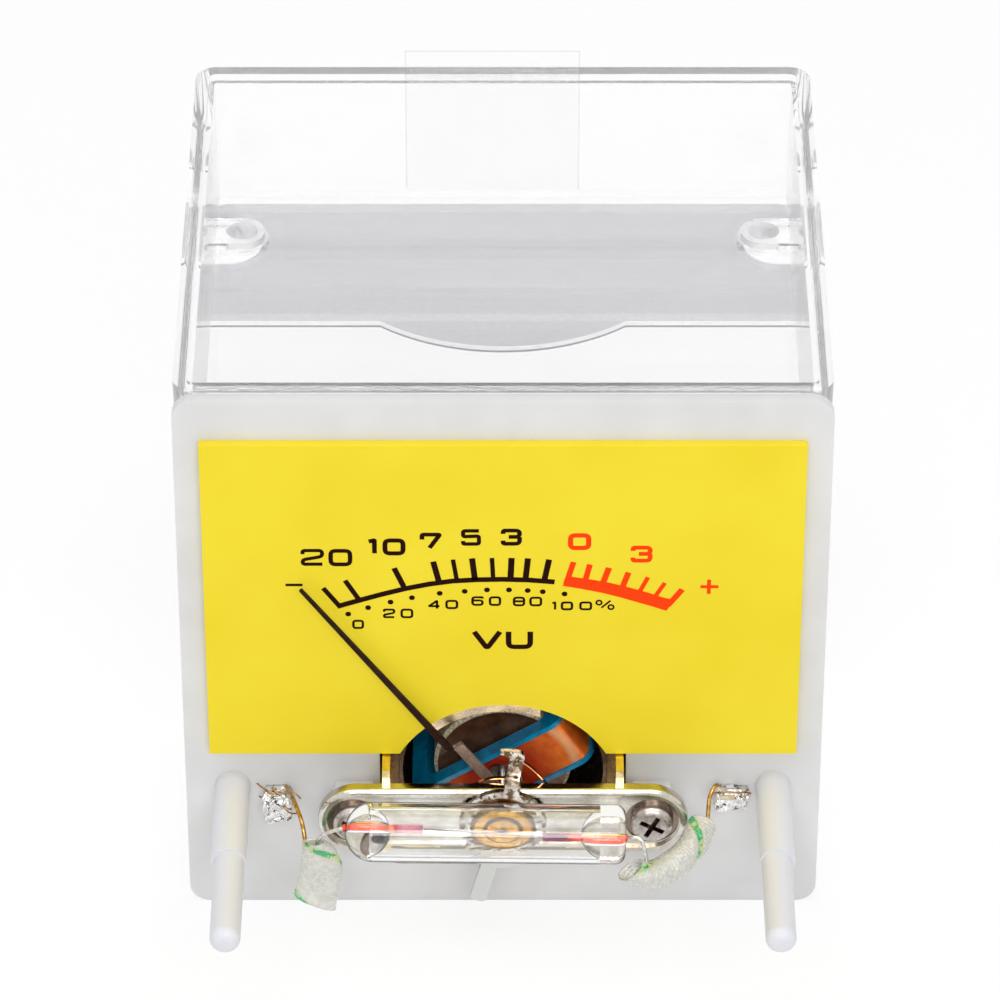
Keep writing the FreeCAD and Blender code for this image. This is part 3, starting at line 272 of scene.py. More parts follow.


# %% [markdown]
# ## Metals
# Plated and turned parts share one recipe: a bright metal whose roughness and tone wander, with a fine bump.
# What differs is the colour, how polished it is, and the direction of the tool marks. Turned faces get rings
# about the needle's axis; a Wave texture in ring mode on coordinates centred there gives them. A `toned`
# function may add what only one part has, such as the core's painted chamfer highlight or the grease and
# painted shade in a screw's cross.

# %% Metal recipe
def metal(name, bright, dull, smooth, rough, blotch=1.2, relief=0.004, marks=None, toned=None, bare=1.0):
    """A metal from two tones and two roughnesses; bare is less than 1 under a film of oxide."""
    finish = Finish(name, bright, metallic=bare, roughness=rough)
    age = finish.grain(blotch, detail=5.0, roughness=0.6)
    colour = finish.mix(finish.spread(age, 0.35, 0.7), bright, dull)
    finish.set("Base Color", toned(finish, colour) if toned else colour)
    finish.set("Roughness", finish.spread(age, 0.3, 0.7, smooth, rough))
    height = finish.grain(0.18, detail=3.0)
    if marks:
        height = height * 0.5 + marks(finish)
    return finish.bump(height, relief).material


def lathe_rings(pitch):
    """Rings about the needle's axis, one to each pitch millimetres."""
    def marks(finish):
        where = finish.place(centre=PIVOT, stretch=(1, 0.001, 1))
        return finish.add("ShaderNodeTexWave", {"wave_type": "RINGS", "rings_direction": "SPHERICAL"},
                          {"Vector": where, "Scale": 0.314 / pitch, "Distortion": 0.6, "Detail": 2.0},
                          output="Fac")
    return marks


print("recipes", metal.__name__, lathe_rings.__name__)


# %% Tones that one part has
CORE_RIM_R = 6.68       # the core's chamfer, painted as a pale highlight, starts here
LIP_DEPTH = 0.5         # the yoke's front face, painted lighter as a reflection, ends at this Y; its walls behind are darker
SCREW_X = 15.19         # the screws stand this far to each side
SCREW_CROWN_Y = -5.7    # the crown of their heads
SCREW_CROSS_R = 1.5     # the cross in a screw's head reaches this far
SCREW_RECESS_R = 2.7    # the bridge's recess round the head starts here
JEWEL_SEAM_R = 1.85     # where the bearing screw meets its lock nut
JEWEL_BEARING_R = 0.35
JEWEL_NUT_FOOT_R = 2.8
TAIL_TOP_Z = -5.0       # the adjuster's plain grey tail is below this


def chamfer_painted_highlight(finish, colour):
    """The core's turned chamfer, painted as a pale highlight that glints in places."""
    rim = finish.spread(finish.distance(PIVOT, (1, 0, 1)), CORE_RIM_R, CORE_RIM_R + 0.08)
    painted_glint = finish.spread(finish.grain(0.3, detail=2.0), 0.4, 0.6, 0.45, 1.0)
    finish.set("Metallic", finish.spread(rim, 0.0, 1.0, 0.45, 0.0))
    return finish.mix(rim * painted_glint, colour, (1.0, 0.90, 0.62))


def lip_painted_reflection(finish, colour):
    """The yoke's front lip is painted a cloudy pale gold: a painted reflection of the yellow dial and the
    light.
    """
    front = finish.spread(finish.along("Y"), LIP_DEPTH, LIP_DEPTH + 0.15, 1.0, 0.0)
    cloud = finish.spread(finish.grain(2.2, detail=3.0), 0.4, 0.62)
    lip = finish.mix(cloud, (0.95, 0.75, 0.46), (0.62, 0.47, 0.36))
    return finish.mix(front, colour, lip)


def near_screws(finish, radius, fade):
    """1 within a radius of either screw's axis."""
    first, second = (finish.spread(finish.distance((side * SCREW_X, 0, PIVOT.z), (1, 0, 1)),
                                   radius, radius + fade, 1.0, 0.0) for side in (1, -1))
    return first + second


def dark_recess(finish, colour):
    """Grease and shade darken the cross in the screws' heads."""
    deep = finish.spread(finish.along("Y"), SCREW_CROWN_Y + 0.12, SCREW_CROWN_Y + 0.3)
    return finish.mix(near_screws(finish, SCREW_CROSS_R, 0.1) * deep, colour, (0.09, 0.06, 0.045))


def shaded_recess(finish, colour):
    """Painted shade darkens the round recesses about the screws' heads."""
    return finish.mix(near_screws(finish, SCREW_RECESS_R, 0.15) * 0.8, colour, (0.16, 0.10, 0.07))


def dark_seams(finish, colour):
    """Darker rings at the seam between screw and nut, at the nut's foot and in the bearing."""
    out = finish.distance(PIVOT, (1, 0, 1))
    seam = finish.spread(out, JEWEL_SEAM_R - 0.25, JEWEL_SEAM_R - 0.1) * finish.spread(
        out, JEWEL_SEAM_R + 0.1, JEWEL_SEAM_R + 0.25, 1.0, 0.0)
    bearing = finish.spread(out, JEWEL_BEARING_R, JEWEL_BEARING_R + 0.4, 1.0, 0.0)
    foot = finish.spread(out, JEWEL_NUT_FOOT_R, JEWEL_NUT_FOOT_R + 0.3)
    return finish.mix(seam + bearing + foot, colour, (0.16, 0.065, 0.02))


def flux_and_painted_reflections(finish, colour):
    """Dark patches in the solder: partly flux residue, partly painted dark reflections on the bright metal.
    """
    dark_patch = finish.spread(finish.grain(0.55, detail=6.0, roughness=0.7), 0.53, 0.6)
    return finish.mix(dark_patch, colour, (0.035, 0.022, 0.014))


def arm_painted_reflections(finish, colour):
    """Dark streaks on the arm are painted reflections; the tail below the ring is a plain grey."""
    painted_reflection = finish.spread(finish.grain(0.75, detail=3.0), 0.5, 0.56)
    arm = finish.mix(painted_reflection, colour, (0.17, 0.11, 0.06))
    below = finish.spread(finish.along("Z"), TAIL_TOP_Z - 0.6, TAIL_TOP_Z, 1.0, 0.0)
    return finish.mix(below, arm, (0.64, 0.64, 0.62))


print("own tones from, mm:", CORE_RIM_R, "core,", SCREW_X, "screws,", JEWEL_SEAM_R, "bearing")


# %% [markdown]
# Each metal is then one call: its bright and dull tones, and how smooth and how rough it gets.

# %% The metals
NICKEL = metal("bright_nickel", (0.74, 0.72, 0.67), (0.44, 0.39, 0.31), 0.06, 0.2, blotch=3.0, relief=0.008,
               toned=shaded_recess)
IRON = metal("yoke_iron", (0.24, 0.15, 0.09), (0.13, 0.08, 0.05), 0.2, 0.38, marks=lathe_rings(0.16),
             toned=lip_painted_reflection)
# the frame's gold is partly its own warm plating and partly a painted reflection of the yellow dial
FRAME_GOLD = metal("frame_gold_and_dial_reflection", (1.0, 0.83, 0.44), (0.78, 0.57, 0.24), 0.1, 0.26, blotch=0.8)
SCREW = metal("screw_nickel", (0.62, 0.58, 0.55), (0.36, 0.31, 0.28), 0.2, 0.42, blotch=0.5, relief=0.01,
              toned=dark_recess)
# the adjuster's bright and dark brown blotches are painted reflections too
ADJUSTER = metal("adjuster_nickel", (0.80, 0.78, 0.73), (0.15, 0.10, 0.06), 0.08, 0.3, blotch=1.5,
                 relief=0.03, toned=arm_painted_reflections)
BRASS = metal("brass", (0.86, 0.50, 0.09), (0.50, 0.24, 0.04), 0.1, 0.26, blotch=0.7, marks=lathe_rings(0.12),
              toned=dark_seams)
MAGNET = metal("magnet_brown", (0.17, 0.075, 0.038), (0.055, 0.024, 0.013), 0.08, 0.2, blotch=1.6,
               marks=lathe_rings(0.2), toned=chamfer_painted_highlight)
BRONZE = metal("spring_bronze", (1.0, 0.52, 0.22), (0.90, 0.34, 0.11), 0.14, 0.28, blotch=0.8)
STEEL = metal("arbor_steel", (0.66, 0.66, 0.66), (0.50, 0.50, 0.50), 0.12, 0.26)
ALUMINIUM = metal("holder_aluminium", (0.60, 0.46, 0.36), (0.36, 0.26, 0.20), 0.2, 0.4, blotch=0.9,
                  bare=0.5)
TINNED = metal("tinned_wire", (0.80, 0.80, 0.78), (0.46, 0.43, 0.40), 0.1, 0.3, blotch=0.4)
TINNED_BRASS = metal("tinned_brass", (0.76, 0.72, 0.60), (0.55, 0.42, 0.22), 0.16, 0.36, blotch=0.9)
FILAMENT = metal("filament", (0.25, 0.22, 0.24), (0.16, 0.14, 0.15), 0.3, 0.4)
SOLDER = metal("solder", (0.97, 0.97, 0.96), (0.55, 0.52, 0.50), 0.04, 0.16, blotch=0.8, relief=0.05,
               toned=flux_and_painted_reflections)
STRAND = metal("strand_wire", (0.52, 0.28, 0.08), (0.12, 0.055, 0.02), 0.2, 0.4, blotch=0.5)
LACQUERED = metal("lacquered_wire", (0.66, 0.40, 0.12), (0.22, 0.10, 0.03), 0.12, 0.28, blotch=0.6)
print("finishes so far", len(Finish.made))


# %% [markdown]
# ## Lacquers on the moving coil
# The former is metal in a clear teal lacquer, so it is glossy under a coat and darker where the lacquer is
# thick. The needle has a dark brown lacquer. The winding's enamel is a copper gloss with darker specks where
# the varnish has gathered; painted shade darkens it near the axis, and a painted highlight lies where the
# turns bend. Its turns are modelled.

# %% Coil and needle lacquers
BEND_R = 7.7            # the turns begin to bend this far from the axis, where a painted highlight lies
ENAMEL_DARK_R = 3.5     # painted shade: nearer to the axis than this the winding is dark
ENAMEL_BRIGHT_R = 6.5


def lacquer(name, light, deep, coat, rough=0.3, glare=0.5):
    """A lacquer from a thin and a thick tone; the coat is its gloss."""
    finish = Finish(name, light, roughness=rough, coat_roughness=0.08, specular_ior_level=glare)
    depth = finish.grain(0.9, detail=3.0)
    finish.set("Base Color", finish.mix(finish.spread(depth, 0.35, 0.7), light, deep))
    finish.set("Coat Weight", coat)
    finish.set("Roughness", finish.spread(depth, 0.3, 0.7, rough * 0.8, rough * 1.3))
    return finish.bump(finish.grain(0.2), 0.004).material


def enamel():
    bright, dark = (1.0, 0.25, 0.03), (0.55, 0.04, 0.004)
    finish = Finish("enamelled_copper", bright, metallic=0.3, roughness=0.3, coat_weight=0.08,
                    coat_roughness=0.15, specular_ior_level=0.25)
    varnish = finish.spread(finish.grain(1.3, detail=6.0, roughness=0.7), 0.42, 0.72, 0.0, 0.7)
    # painted shade: the winding goes from its bright tone to the dark one towards the axis
    outward = finish.distance(PIVOT, (1, 0, 1))
    thin = finish.spread(outward, ENAMEL_DARK_R, ENAMEL_BRIGHT_R)
    colour = finish.mix(thin, dark, finish.mix(varnish, bright, dark))
    # painted highlight: a paler band where the turns bend
    bend = finish.spread(outward, BEND_R - 0.7, BEND_R - 0.1) * finish.spread(
        outward, BEND_R + 0.1, BEND_R + 0.8, 1.0, 0.0)
    finish.set("Base Color", finish.mix(bend * 0.8, colour, (1.0, 0.60, 0.30)))
    return finish.bump(finish.grain(0.1), 0.004).material


TEAL = lacquer("former_blue", paint(0, 158, 212), paint(0, 124, 168), coat=0.4)
NEEDLE = lacquer("pointer_lacquer", paint(48, 24, 16), paint(32, 14, 8), coat=0.0, rough=0.5, glare=0.1)
ENAMEL = enamel()
print("lacquers", TEAL.name, NEEDLE.name, ENAMEL.name)


# %% [markdown]
# ## Clear pieces
# The lamp is drawn glass and the cover is polished acrylic. Both let light through and bend it, so they use
# transmission with the material's own index. Rays to the lamps go straight through a plain Transparent shader
# instead, because bent rays wouldn't find the lamps and all that lies behind would be black. A tenth of the
# cover's walls is left open by alpha, which keeps the many inner reflections of thick walls light, and the
# thin tape is mostly open. Glass seen edge-on takes a thin grey outline, as light has a long way through it.

# %% Glass
EDGE_FROM = 0.62        # how slanted the glass must be before it darkens
EDGE_FULL = 0.95
EDGE_TONE = (0.22, 0.22, 0.22)
OUTLINE_FROM = 0.66     # how slanted it must be to show an outline
OUTLINE_SHARE = 0.55    # how strong that outline is


def clear(name, index, solid, skin, skin_size, rough=0.0, dim=0.97):
    """A clear stuff, and the open air that shadow rays see in its place."""
    finish = Finish(name, WHITE, roughness=rough, ior=index, transmission_weight=1.0, alpha=solid)
    finish.bump(finish.grain(skin_size, detail=2.0), skin)
    open_air = finish.add("ShaderNodeBsdfTransparent", {}, {"Color": (dim, dim, dim, 1.0)})
    return finish, open_air


def lamp_glass():
    """Drawn glass; where it is seen edge-on it takes a thin grey outline."""
    finish, open_air = clear("lamp_glass", 1.5, 1.0, skin=0.003, skin_size=1.6, dim=0.95)
    slant = finish.add("ShaderNodeLayerWeight", {}, {"Blend": 0.5}, output="Facing")
    edge = finish.spread(slant, EDGE_FROM, EDGE_FULL)
    finish.set("Base Color", finish.mix(edge, WHITE, EDGE_TONE))
    outline = finish.spread(slant, OUTLINE_FROM, OUTLINE_FROM + 0.08, 0.0, OUTLINE_SHARE)
    grey = finish.add("ShaderNodeBsdfTransparent", {}, {"Color": (0.16, 0.16, 0.17, 1.0)})
    wall = finish.blend(outline, finish.body(), grey)
    return finish.show(finish.blend(finish.ray("Shadow"), wall, open_air)).material


GLASS = lamp_glass()
print("finishes so far", len(Finish.made))


# %% Tape and acrylic
TAPE_X, TAPE_Z = -1.1, 41.75
TAPE_HALF_W, TAPE_HALF_H = 9.3, 8.75
TAPE_CUT = 0.2          # how wide its cut edges show
EAR_X, EAR_Y, EAR_R = 27.6, 49.5, 2.75
EAR_TOP = 35.4
EAR_CLOUD = 0.5         # how much of an ear is cloudy


def tape():
    """Film that is only seen by its cut edges."""
    finish, open_air = clear("clear_tape", 1.3, 0.25, rough=0.02, skin=0.02, skin_size=2.0)
    across = finish.distance((TAPE_X, 0, 0), (1, 0, 0))
    edge = finish.spread(across, TAPE_HALF_W - TAPE_CUT, TAPE_HALF_W - TAPE_CUT / 2)
    upwards = finish.distance((0, 0, TAPE_Z), (0, 0, 1))
    edge = edge + finish.spread(upwards, TAPE_HALF_H - TAPE_CUT, TAPE_HALF_H - TAPE_CUT / 2)
    finish.set("Base Color", finish.mix(edge, WHITE, (0.55, 0.55, 0.55)))
    return finish.show(finish.blend(finish.ray("Shadow"), finish.body(), open_air)).material


def acrylic():
    """Clear walls; the two ears come cloudy from the mould."""
    finish, open_air = clear("clear_acrylic", 1.49, 0.9, skin=0.001, skin_size=9.0)
    cloud = finish.add("ShaderNodeBsdfPrincipled", {}, {
        "Base Color": (0.86, 0.86, 0.87, 1), "Roughness": 0.35})
    left, right = (finish.spread(finish.distance((side * EAR_X, EAR_Y, 0), (1, 1, 0)),
                                 EAR_R, EAR_R + 0.1, 1.0, 0.0) for side in (-1, 1))
    low = finish.spread(finish.along("Z"), EAR_TOP, EAR_TOP + 0.1, 1.0, 0.0)
    wall = finish.blend((right + left) * low * EAR_CLOUD, finish.body(), cloud)
    return finish.show(finish.blend(finish.ray("Shadow"), wall, open_air)).material


TAPE = tape()
ACRYLIC = acrylic()
print("clear", GLASS.name, TAPE.name, ACRYLIC.name)


# %% [markdown]
# ## Mask
# The mask inside the cover is sheet metal in silver-grey satin paint, with fine flecks and light scuffs. A
# painted highlight, brighter and sparkling, runs along a strip at the sheet's near edge, and a thin darker
# line runs round the foot of its cut edges.

# %% Mask paint
MASK_EDGE_Y = 35.1
MASK_STRIP = 1.3        # the width of the painted highlight strip
MASK_LOW_Z = 31.7       # the face that lies on the cover's front pane


def mask_paint():
    finish = Finish("mask_grey", paint(244, 244, 247), roughness=0.4)
    fleck = finish.grain(0.35, detail=4.0, roughness=0.7)
    sheet = finish.mix(finish.spread(fleck, 0.35, 0.7), paint(246, 246, 248), paint(236, 236, 239))
    scuff = finish.spread(finish.grain(1.2, detail=6.0, roughness=0.85), 0.62, 0.66)
    sheet = finish.mix(scuff, sheet, paint(255, 255, 255))
    inwards = finish.along("Y")
    # painted highlight: a brighter, sparkling strip along the sheet's near edge
    painted_edge_strip = finish.spread(inwards, MASK_EDGE_Y + MASK_STRIP, MASK_EDGE_Y + MASK_STRIP + 0.15, 1.0, 0.0)
    painted_edge_strip = painted_edge_strip * finish.spread(inwards, MASK_EDGE_Y - 0.1, MASK_EDGE_Y + 0.1)
    painted_sparkle = finish.spread(finish.grain(0.5, detail=4.0, roughness=0.8), 0.42, 0.58, 0.25, 1.0)
    sheet = finish.mix(painted_edge_strip * painted_sparkle, sheet, paint(255, 255, 255))
    # a thin darker line round the foot of the cut edges
    height = finish.along("Z")
    dark_foot_line = finish.spread(height, MASK_LOW_Z + 0.02, MASK_LOW_Z + 0.05) * finish.spread(
        height, MASK_LOW_Z + 0.25, MASK_LOW_Z + 0.3, 1.0, 0.0)
    finish.set("Base Color", finish.mix(dark_foot_line, sheet, paint(120, 120, 122)))
    finish.set("Roughness", finish.spread(fleck, 0.3, 0.7, 0.32, 0.48))
    return finish.bump(fleck, 0.003).material


MASK = mask_paint()
print("finishes so far", len(Finish.made))


# %% [markdown]
# ## Sealed leads
# A sealed lead is copper-clad wire; inside its glass bead the copper turns red, from orange to crimson. The
# flattened blade past the bead is bare and has a mauve temper colour. The tones change only along the lamp,
# so a ramp along X gives them.

# %% Leads
def lead_finish(name, start, end, stops):
    """Tones from the lead's outer end to its blade's tip."""
    finish = Finish(name, stops[0][1], metallic=0.2, roughness=0.35)
    way = finish.spread(finish.along("X"), start, end)
    tone = finish.add("ShaderNodeValToRGB", {"stops": stops}, {"Fac": way}, output="Color")
    cloud = finish.spread(finish.grain(0.5, detail=4.0), 0.5, 0.75, 0.0, 0.35)
    finish.set("Base Color", finish.mix(cloud, tone, paint(255, 150, 110)))
    return finish.bump(finish.grain(0.3), 0.01).material


LEFT_LEAD = lead_finish("left_dumet", -16.2, -8.1, [
    (0.0, paint(214, 52, 26)), (0.35, paint(236, 86, 48)), (0.6, paint(226, 120, 74)),
    (0.66, paint(168, 40, 58)), (0.76, paint(206, 132, 150)), (1.0, paint(178, 104, 130))])
RIGHT_LEAD = lead_finish("right_dumet", 12.6, 4.0, [
    (0.0, paint(226, 60, 34)), (0.3, paint(240, 96, 66)), (0.6, paint(220, 58, 34)),
    (0.7, paint(120, 12, 28)), (0.78, paint(98, 24, 62)), (1.0, paint(120, 52, 96))])
print("leads", LEFT_LEAD.name, RIGHT_LEAD.name)


# %% [markdown]
# ## Finishes on the CAD pieces
# Where the CAD shape is already the real one, it stays and only gets its finish. The winding, the two sleeves
# and the solder are left out here, because finer pieces stand for them below.

# %% Dress the CAD nodes
dressed = []


def dress(finish, *nodes):
    for node in nodes:
        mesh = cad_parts[node].data
        mesh.materials.clear()
        mesh.materials.append(finish)
        dressed.append(node)


dress(MILKY, "base_plate")
dress(DIAL_YELLOW, "dial_plate")
dress(IRON, "yoke")
dress(FRAME_GOLD, "movement_frame")
dress(NICKEL, "front_bridge")
dress(ADJUSTER, "zero_adjuster")
dress(SCREW, "bridge_screws")
dress(BRASS, "front_jewel_screw", "front_jewel_nut", "rear_jewel_screw", "rear_jewel_nut", "core_strap",
      "spring_anchor", "spring_collets", "balance_weight")
dress(MAGNET, "core_magnet")
dress(BRONZE, "front_hairspring", "rear_hairspring")
dress(STEEL, "front_arbor", "rear_arbor")
dress(ALUMINIUM, "pointer_holder")
dress(NEEDLE, "pointer")
dress(TEAL, "coil_former")
dress(GLASS, "lamp_tube")
dress(LEFT_LEAD, "lamp_lead_left")
dress(RIGHT_LEAD, "lamp_lead_right")
dress(FILAMENT, "lamp_filament")
dress(TINNED, "lamp_wires")
dress(LACQUERED, "feed_wires", "signal_wires")
dress(TINNED_BRASS, "lamp_terminals", "signal_terminals")
dress(ACRYLIC, "clear_cover")
dress(MASK, "mask_plate")
dress(TAPE, "seal_tape")
print("dressed", len(dressed), "of", len(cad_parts), "nodes")


# %% [markdown]
# ## From a sketch to a piece
# Each new piece is a bmesh in millimetres. This helper merges doubles, points the faces outwards, scales to
# metres, hangs the piece on its body with its finish, and hides the CAD nodes that it stands for. Strokes
# that cross each other stay unmerged, because their own faces already point outwards.

# %% Piece helper
def finished_piece(name, bm, body, finish, replaces=(), smooth=True, merge=True):
    if merge:
        bmesh.ops.remove_doubles(bm, verts=bm.verts, dist=1e-4)
        bmesh.ops.recalc_face_normals(bm, faces=bm.faces)
    bmesh.ops.scale(bm, vec=(MM, MM, MM), verts=bm.verts)
    for face in bm.faces:
        face.smooth = smooth
    mesh = bpy.data.meshes.new(name)
    bm.to_mesh(mesh)
    bm.free()
    mesh.materials.append(finish)
    piece = bpy.data.objects.new(name, mesh)
    bpy.context.scene.collection.objects.link(piece)
    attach(piece, body)
    if replaces:
        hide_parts(*replaces)
    low = [round(min(v.co[k] for v in mesh.vertices) / MM, 2) for k in range(3)]
    high = [round(max(v.co[k] for v in mesh.vertices) / MM, 2) for k in range(3)]
    print(name, len(mesh.polygons), "faces, from", low, "to", high)
    return piece


def drawn_wires(name, splines, bevel=3):
    """A bmesh of round strokes: each is its points, whether it closes, and its width."""
    curve = bpy.data.curves.new(name, "CURVE")
    curve.dimensions = "3D"
    curve.bevel_depth = 0.5
    curve.bevel_resolution = bevel
    curve.use_fill_caps = True
    for points, closed, width in splines:
        spline = curve.splines.new("POLY")
        spline.points.add(len(points) - 1)
        for target, point in zip(spline.points, points):
            target.co = (*point, 1)
            target.radius = width
        spline.use_cyclic_u = closed
    sketch = bpy.data.objects.new(name, curve)
    drawn = bpy.data.meshes.new_from_object(sketch)
    bm = bmesh.new()
    bm.from_mesh(drawn)
    bpy.data.objects.remove(sketch)
    bpy.data.meshes.remove(drawn)
    return bm


# %% [markdown]
# ## Dial print
# The figures are wide letters of even stroke with rounded corners. A font would have other shapes, so each
# figure is a few strokes in a unit box. The strokes are splines of a bevelled curve; made a mesh and pressed
# flat, they lie on the dial as ink does. Places are measured across and down from one corner of the print.

# %% Strokes of the figures
FIGURES = {
    "0": [[(0, 0), (1, 0), (1, 1), (0, 1), (0, 0)]],
    "1": [[(0, 0.9), (1, 1), (1, 0)]],
    "2": [[(0, 0.74), (0, 1), (1, 1), (1, 0.56), (0.14, 0.36), (0, 0.28), (0, 0), (1, 0)]],
    "3": [[(0, 0.76), (0, 1), (1, 1), (1, 0.52), (0.34, 0.52)], [(1, 0.5), (1, 0), (0, 0), (0, 0.24)]],
    "4": [[(0.76, 0), (0.76, 1), (0, 0.3), (1, 0.3)]],
    "5": [[(1, 1), (0, 1), (0, 0.56), (1, 0.6), (1, 0), (0, 0), (0, 0.22)]],
    "6": [[(1, 0.84), (1, 1), (0, 1), (0, 0), (1, 0), (1, 0.58), (0, 0.58)]],
    "7": [[(0, 0.64), (0, 1), (1, 1), (0.42, 0)]],
    "8": [[(0, 0), (1, 0), (1, 1), (0, 1), (0, 0)], [(0, 0.53), (1, 0.53)]],
    "V": [[(0, 1), (0.46, 0), (0.54, 0), (1, 1)]],
    "U": [[(0, 1), (0, 0), (1, 0), (1, 1)]],
}
ROUND = 0.3             # a corner's radius, in box heights
SHARP = {"1": 0.04, "4": 0.05, "5": 0.14, "7": 0.1, "V": 0.04}     # the same for the less round figures
PRINT_LEFT = -30.1
PRINT_TOP = 44.2
DIAL_FRONT = -1.0


def on_dial(across, down):
    """A place on the dial's face, measured from the print's corner."""
    return Vector((PRINT_LEFT + across, DIAL_FRONT, PRINT_TOP - down))


def rounded(points, radius, steps=4):
    """The points with each corner turned into a short curve; a line that closes is rounded all round."""
    closed = (points[0] - points[-1]).length < 1e-6
    ring = points[:-1] if closed else points
    count = len(ring)
    out = []
    for i, here in enumerate(ring):
        if not closed and i in (0, count - 1):
            out.append(here)
            continue
        before, after = ring[i - 1], ring[(i + 1) % count]
        reach = min(radius, (before - here).length * 0.5, (after - here).length * 0.5)
        start = here + (before - here).normalized() * reach
        end = here + (after - here).normalized() * reach
        for step in range(steps + 1):
            t = step / steps
            out.append(start * (1 - t) ** 2 + here * (2 * t * (1 - t)) + end * t ** 2)
    return out, closed


def figure(character, left, top, right, bottom, width):
    """The strokes of one figure whose ink fills the box."""
    half = width / 2
    breadth, height = right - left - width, bottom - top - width
    strokes = []
    for stroke in FIGURES[character]:
        points = [on_dial(left + half + x * breadth, bottom - half - y * height) for x, y in stroke]
        strokes.append((*rounded(points, SHARP.get(character, ROUND) * height), width))
    return strokes


print("figures", "".join(sorted(FIGURES)))


# %% Everything printed in black and in red
black = []
for character, *box in [
        ("2", 10.0, 13.3, 12.3, 15.35, 0.36), ("0", 12.75, 13.3, 15.1, 15.4, 0.42),
        ("1", 16.55, 11.98, 17.55, 14.02, 0.44), ("0", 18.15, 12.0, 20.4, 14.05, 0.46),
        ("7", 21.85, 11.3, 24.05, 13.35, 0.42), ("5", 25.95, 10.85, 27.9, 12.85, 0.38),
        ("3", 29.9, 10.8, 31.95, 12.85, 0.42),
        ("0", 15.0, 22.15, 16.15, 23.25, 0.2),
        ("2", 18.1, 20.75, 19.3, 21.9, 0.2), ("0", 19.85, 20.75, 21.1, 21.9, 0.2),
        ("4", 22.6, 19.65, 23.85, 20.8, 0.2), ("0", 24.35, 19.65, 25.6, 20.75, 0.2),
        ("6", 26.95, 19.2, 28.15, 20.35, 0.2), ("0", 28.7, 19.2, 29.9, 20.35, 0.2),
        ("8", 31.1, 19.25, 32.3, 20.4, 0.2), ("0", 32.75, 19.25, 34.0, 20.4, 0.2),
        ("1", 34.95, 19.85, 35.4, 20.9, 0.18), ("0", 35.9, 19.85, 37.1, 20.9, 0.2),
        ("0", 37.75, 19.85, 39.0, 20.9, 0.2),
        ("V", 26.95, 23.38, 30.05, 25.82, 0.52), ("U", 30.4, 23.38, 33.1, 25.82, 0.52)]:
    black += figure(character, *box)
red = figure("0", 36.55, 11.35, 38.85, 13.4, 0.5) + figure("3", 42.8, 12.9, 44.95, 14.95, 0.44)


def line(points, width):
    return ([on_dial(*p) for p in points], False, width)


def circle(across, down, radius, width):
    ring = [on_dial(across + radius * math.cos(a), down + radius * math.sin(a))
            for a in (math.tau * k / 16 for k in range(16))]
    return (ring, True, width)


black += [
    line([(8.4, 17.75), (10.1, 17.75)], 0.25),
    line([(39.95, 20.6), (40.85, 19.72)], 0.14),
    circle(39.7, 19.97, 0.27, 0.15), circle(40.9, 20.53, 0.27, 0.15),
    line([(12.15, 18.15), (13.72, 20.38)], 0.48),
    line([(13.5, 20.45), (15.6, 19.72), (18.0, 18.92), (20.4, 18.2), (22.7, 17.65),
          (25.0, 17.27), (27.5, 17.1), (30.0, 17.05), (32.6, 17.13), (35.25, 17.38)], 0.56),
    line([(14.35, 17.2), (15.65, 19.5)], 0.48), line([(19.25, 15.65), (20.25, 18.1)], 0.54),
    line([(23.15, 14.85), (23.72, 17.4)], 0.58), line([(25.12, 14.6), (25.5, 17.2)], 0.42),
    line([(27.02, 14.45), (27.3, 17.1)], 0.58), line([(29.0, 14.4), (29.12, 17.0)], 0.42),
    line([(30.95, 14.4), (30.85, 17.0)], 0.6), line([(32.58, 14.45), (32.35, 17.0)], 0.58),
    line([(34.68, 14.6), (34.22, 17.2)], 0.58),
]
red += [
    line([(49.8, 17.97), (51.6, 17.97)], 0.32), line([(50.65, 17.1), (50.65, 18.85)], 0.34),
    line([(37.12, 14.9), (36.38, 17.66)], 0.56), line([(38.75, 15.2), (38.3, 17.2)], 0.56),
    line([(40.65, 15.62), (40.05, 17.6)], 0.6), line([(42.6, 16.2), (42.0, 18.1)], 0.58),
    line([(44.55, 16.8), (43.7, 18.7)], 0.42), line([(46.25, 17.5), (45.3, 19.2)], 0.42),
    line([(48.0, 18.32), (46.6, 20.3)], 0.6),
]
DOTS = [(14.6, 21.4), (16.6, 20.6), (18.85, 19.9), (21.0, 19.35), (23.78, 18.8), (26.27, 18.55),
        (28.5, 18.37), (30.7, 18.37), (32.57, 18.45), (34.07, 18.6), (36.25, 18.88)]
DOT_R = 0.29
RED_BAND = [(36.02, 17.84), (36.9, 16.72), (38.9, 17.08), (40.8, 17.5), (42.8, 18.1),
            (44.6, 18.72), (46.2, 19.36), (46.7, 19.5), (47.2, 19.75), (46.45, 20.98),
            (45.0, 20.42), (43.3, 19.82), (41.6, 19.22), (40.0, 18.73), (38.0, 18.25)]
print("strokes", len(black), "black,", len(red), "red; dots", len(DOTS))


# %% [markdown]
# The ink film is drawn 0.05 mm thick and half sunk, so its edges show no gap and its face stands about
# 0.03 mm off the lacquer. Where strokes cross, each lies a hair higher than the one before, as a second pass
# of the screen would, so no two faces share a plane.

# %% Ink on the dial
INK_HALF = 0.025
INK_STEP = 0.002
INK_LAYERS = 5
SPREAD = 0.05           # the ink creeps outwards by this much, in stroke width


